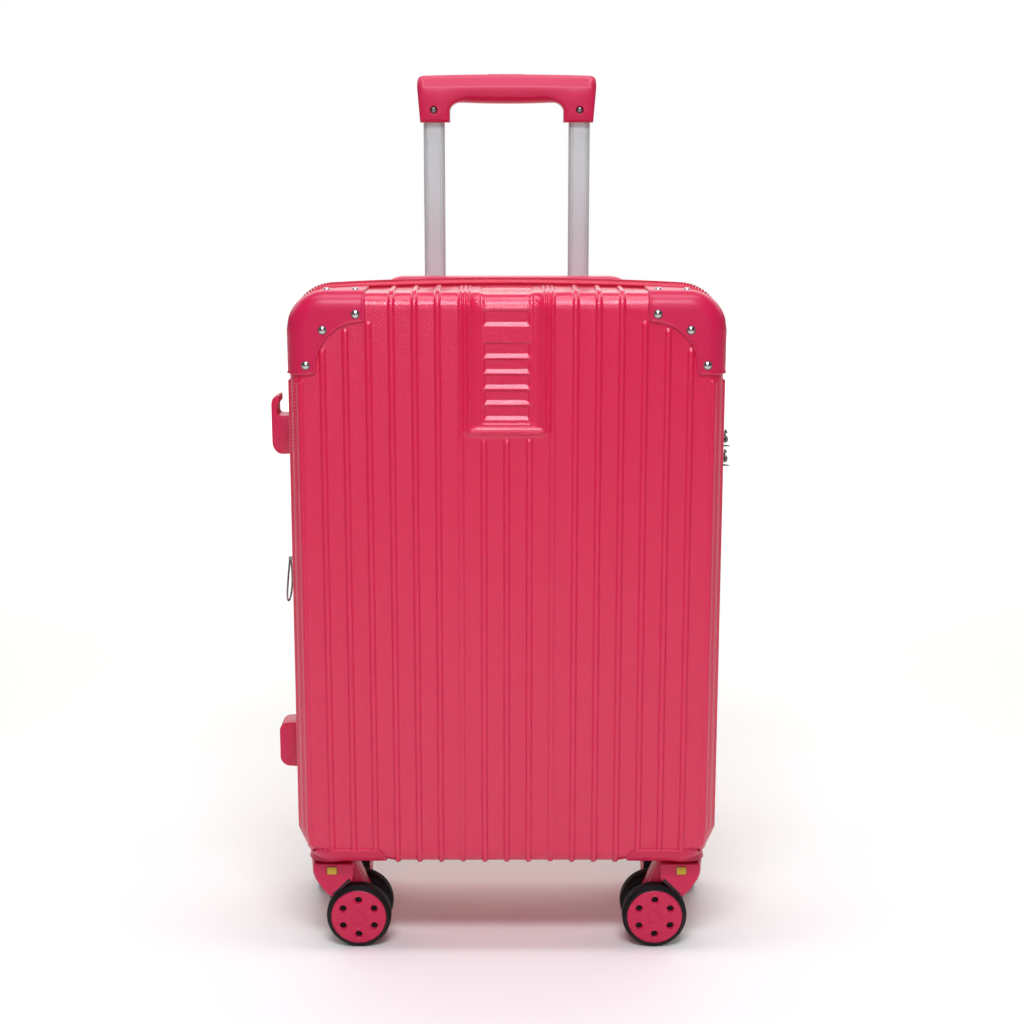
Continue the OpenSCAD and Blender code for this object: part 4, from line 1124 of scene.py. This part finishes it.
def divider():
    """Panel of the lid, bound at its edge, with a zip and a long pocket"""
    w, h, r = 173.4, 235.5, 25
    y = FRONT_RIM - 2.6

    def outline(grow):
        points = []
        for cx, cz, a in ((w - r, h - r, 0), (r - w, h - r, 90), (r - w, r - h, 180), (w - r, r - h, 270)):
            points += arc(cx, cz + MID, r + grow, a, a + 90, 8)
        return points
    panel = prism(outline(-1.5), y + 0.2, y + 1.4)
    pocket = round_box(-140, 120, 140, 330, 12)
    trim = [pipe([(x, y + 0.8, z) for x, z in outline(-2)], 1, 8, closed=True),
            pipe([(x, y + 1.3, z) for x, z in pocket], 0.45, 6, closed=True),
            pipe([(-150, y + 1.3, 345), (150, y + 1.3, 345)], 0.9, 8)]
    o = form("divider_cloth", [panel], lining_mat, "lid", "divider_panel", "lining", angle=40)
    bound = form("divider_binding", trim, strap_mat, "lid", None, "lining")


def straps():
    """Four arms of webbing from the corners to a buckle in the middle"""
    parts = []
    reach = (158, 168)
    half, thick = 12.4, 0.7
    for sx in (-1, 1):
        for sz in (-1, 1):
            turn = shift(0, 26, MID) @ Matrix.Rotation(-sx * sz * atan2(reach[1], reach[0]), 4, "Y")
            rings = []
            for d in steps(16, hypot(*reach), 9):
                sag = 0.5 * sin(d / 24)
                corners = ((-thick, -half), (thick, -half), (thick, half), (-thick, half))
                rings.append([(sx * d, sag + y, z) for y, z in corners])
            parts.append(moved(loft(rings), turn) + (0,))
    parts.append(prism(round_box(-21, MID - 17, 21, MID + 17, 7), 23, 29) + (1,))
    parts.append(prism(round_box(-8, MID - 13, 8, MID + 13, 5), 22.4, 24) + (1,))
    form("strap_webbing", parts, [strap_mat, black_mat], "rear_case", "packing_straps", "webbing", bevel=0.3,
         angle=40)


def hinge_cloth():
    """Strip of cloth that joins the two halves on the left, behind the zip"""
    ys = steps(ZIP_Y - 1.2, ZIP_Y + 1.2, 0.4)
    zs = steps(130, 512, 12)
    points = [(-181.6 - 0.6 * cos((y - ZIP_Y) / 1.2 * 1.4), y, z) for z in zs for y in ys]
    mesh = make_mesh("hinge_cloth", [(points, grid_faces(len(zs), len(ys)))], zip_mat, angle=0)
    o = new_object("hinge_strip", mesh)
    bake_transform(o)


def pulls():
    """Wire loop of the expansion zip, and the ends that hold the bars of the lock sliders"""
    top, low, mid_y = 322, 283.6, 4.5
    path = []
    for w in round_angles(48):
        drop = (1 - cos(w)) / 2
        wide = 5.3 * sin(w) * (0.45 + 0.75 * drop)
        path.append((-190.8 - 2.2 * drop ** 2 + 0.32 * wide, mid_y + wide * 0.94, top - (top - low) * drop))
    wire = pipe(path, 0.85, 10, closed=True)
    form("expansion_loop", [wire], nickel_mat, "expansion_pull", "expansion_zip_pull", "chrome", angle=0)
    root = 184.5
    parts = []
    for z in (430, 413):
        lower = [(root, z - 6.4), (192.2, z - 6.4), (192.6, z - 5.9), (190.6, z - 5), (root, z - 5)]
        upper = [(root, z + 5), (190, z + 5), (190.2, z + 5.6), (188.8, z + 8.4), (187.9, z + 8.4),
                 (187.6, z + 6.4), (root, z + 6.2)]
        parts += [prism(rounded(line, 0.4), -13.6, -10.4) for line in (lower, upper)]
    form("slider_ends", parts, nickel_mat, "rear_case", None, "chrome", bevel=0.2)


def dress(node, mat, width):
    """Finish and softened edges for a CAD node whose shape is right"""
    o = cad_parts[node]
    o.data.materials.clear()
    o.data.materials.append(mat)
    soften = o.modifiers.new("soften", "BEVEL")
    soften.width, soften.segments = width * MM, 2
    soften.limit_method, soften.angle_limit = "ANGLE", radians(40)


camera()
studio()
shells()
guards()
housings()
rivets()
zips()
feet()
grip()
screws()
tubes()
carry("top_handle_grip", "top_carry_handle", "top_handle", spot(0, 36, HIGH))
carry("side_handle_grip", "side_carry_handle", "side_handle", spot(HALF_W, 62, MID) @ spin(90, "Y"))
lock()
casters()
linings()
tunnel()
divider()
straps()
hinge_cloth()
pulls()
for node, mat, width in (("zip_sliders", nickel_mat, 0.3), ("upper_zip_pull", nickel_mat, 0.25),
                         ("lower_zip_pull", nickel_mat, 0.25), ("lock_button", chrome_mat, 0.4),
                         ("handle_sockets", black_mat, 0.3), ("tube_bracket", black_mat, 0.6),
                         ("front_left_axle", steel_mat, 0.3), ("front_right_axle", steel_mat, 0.3),
                         ("rear_left_axle", steel_mat, 0.3), ("rear_right_axle", steel_mat, 0.3)):
    dress(node, mat, width)
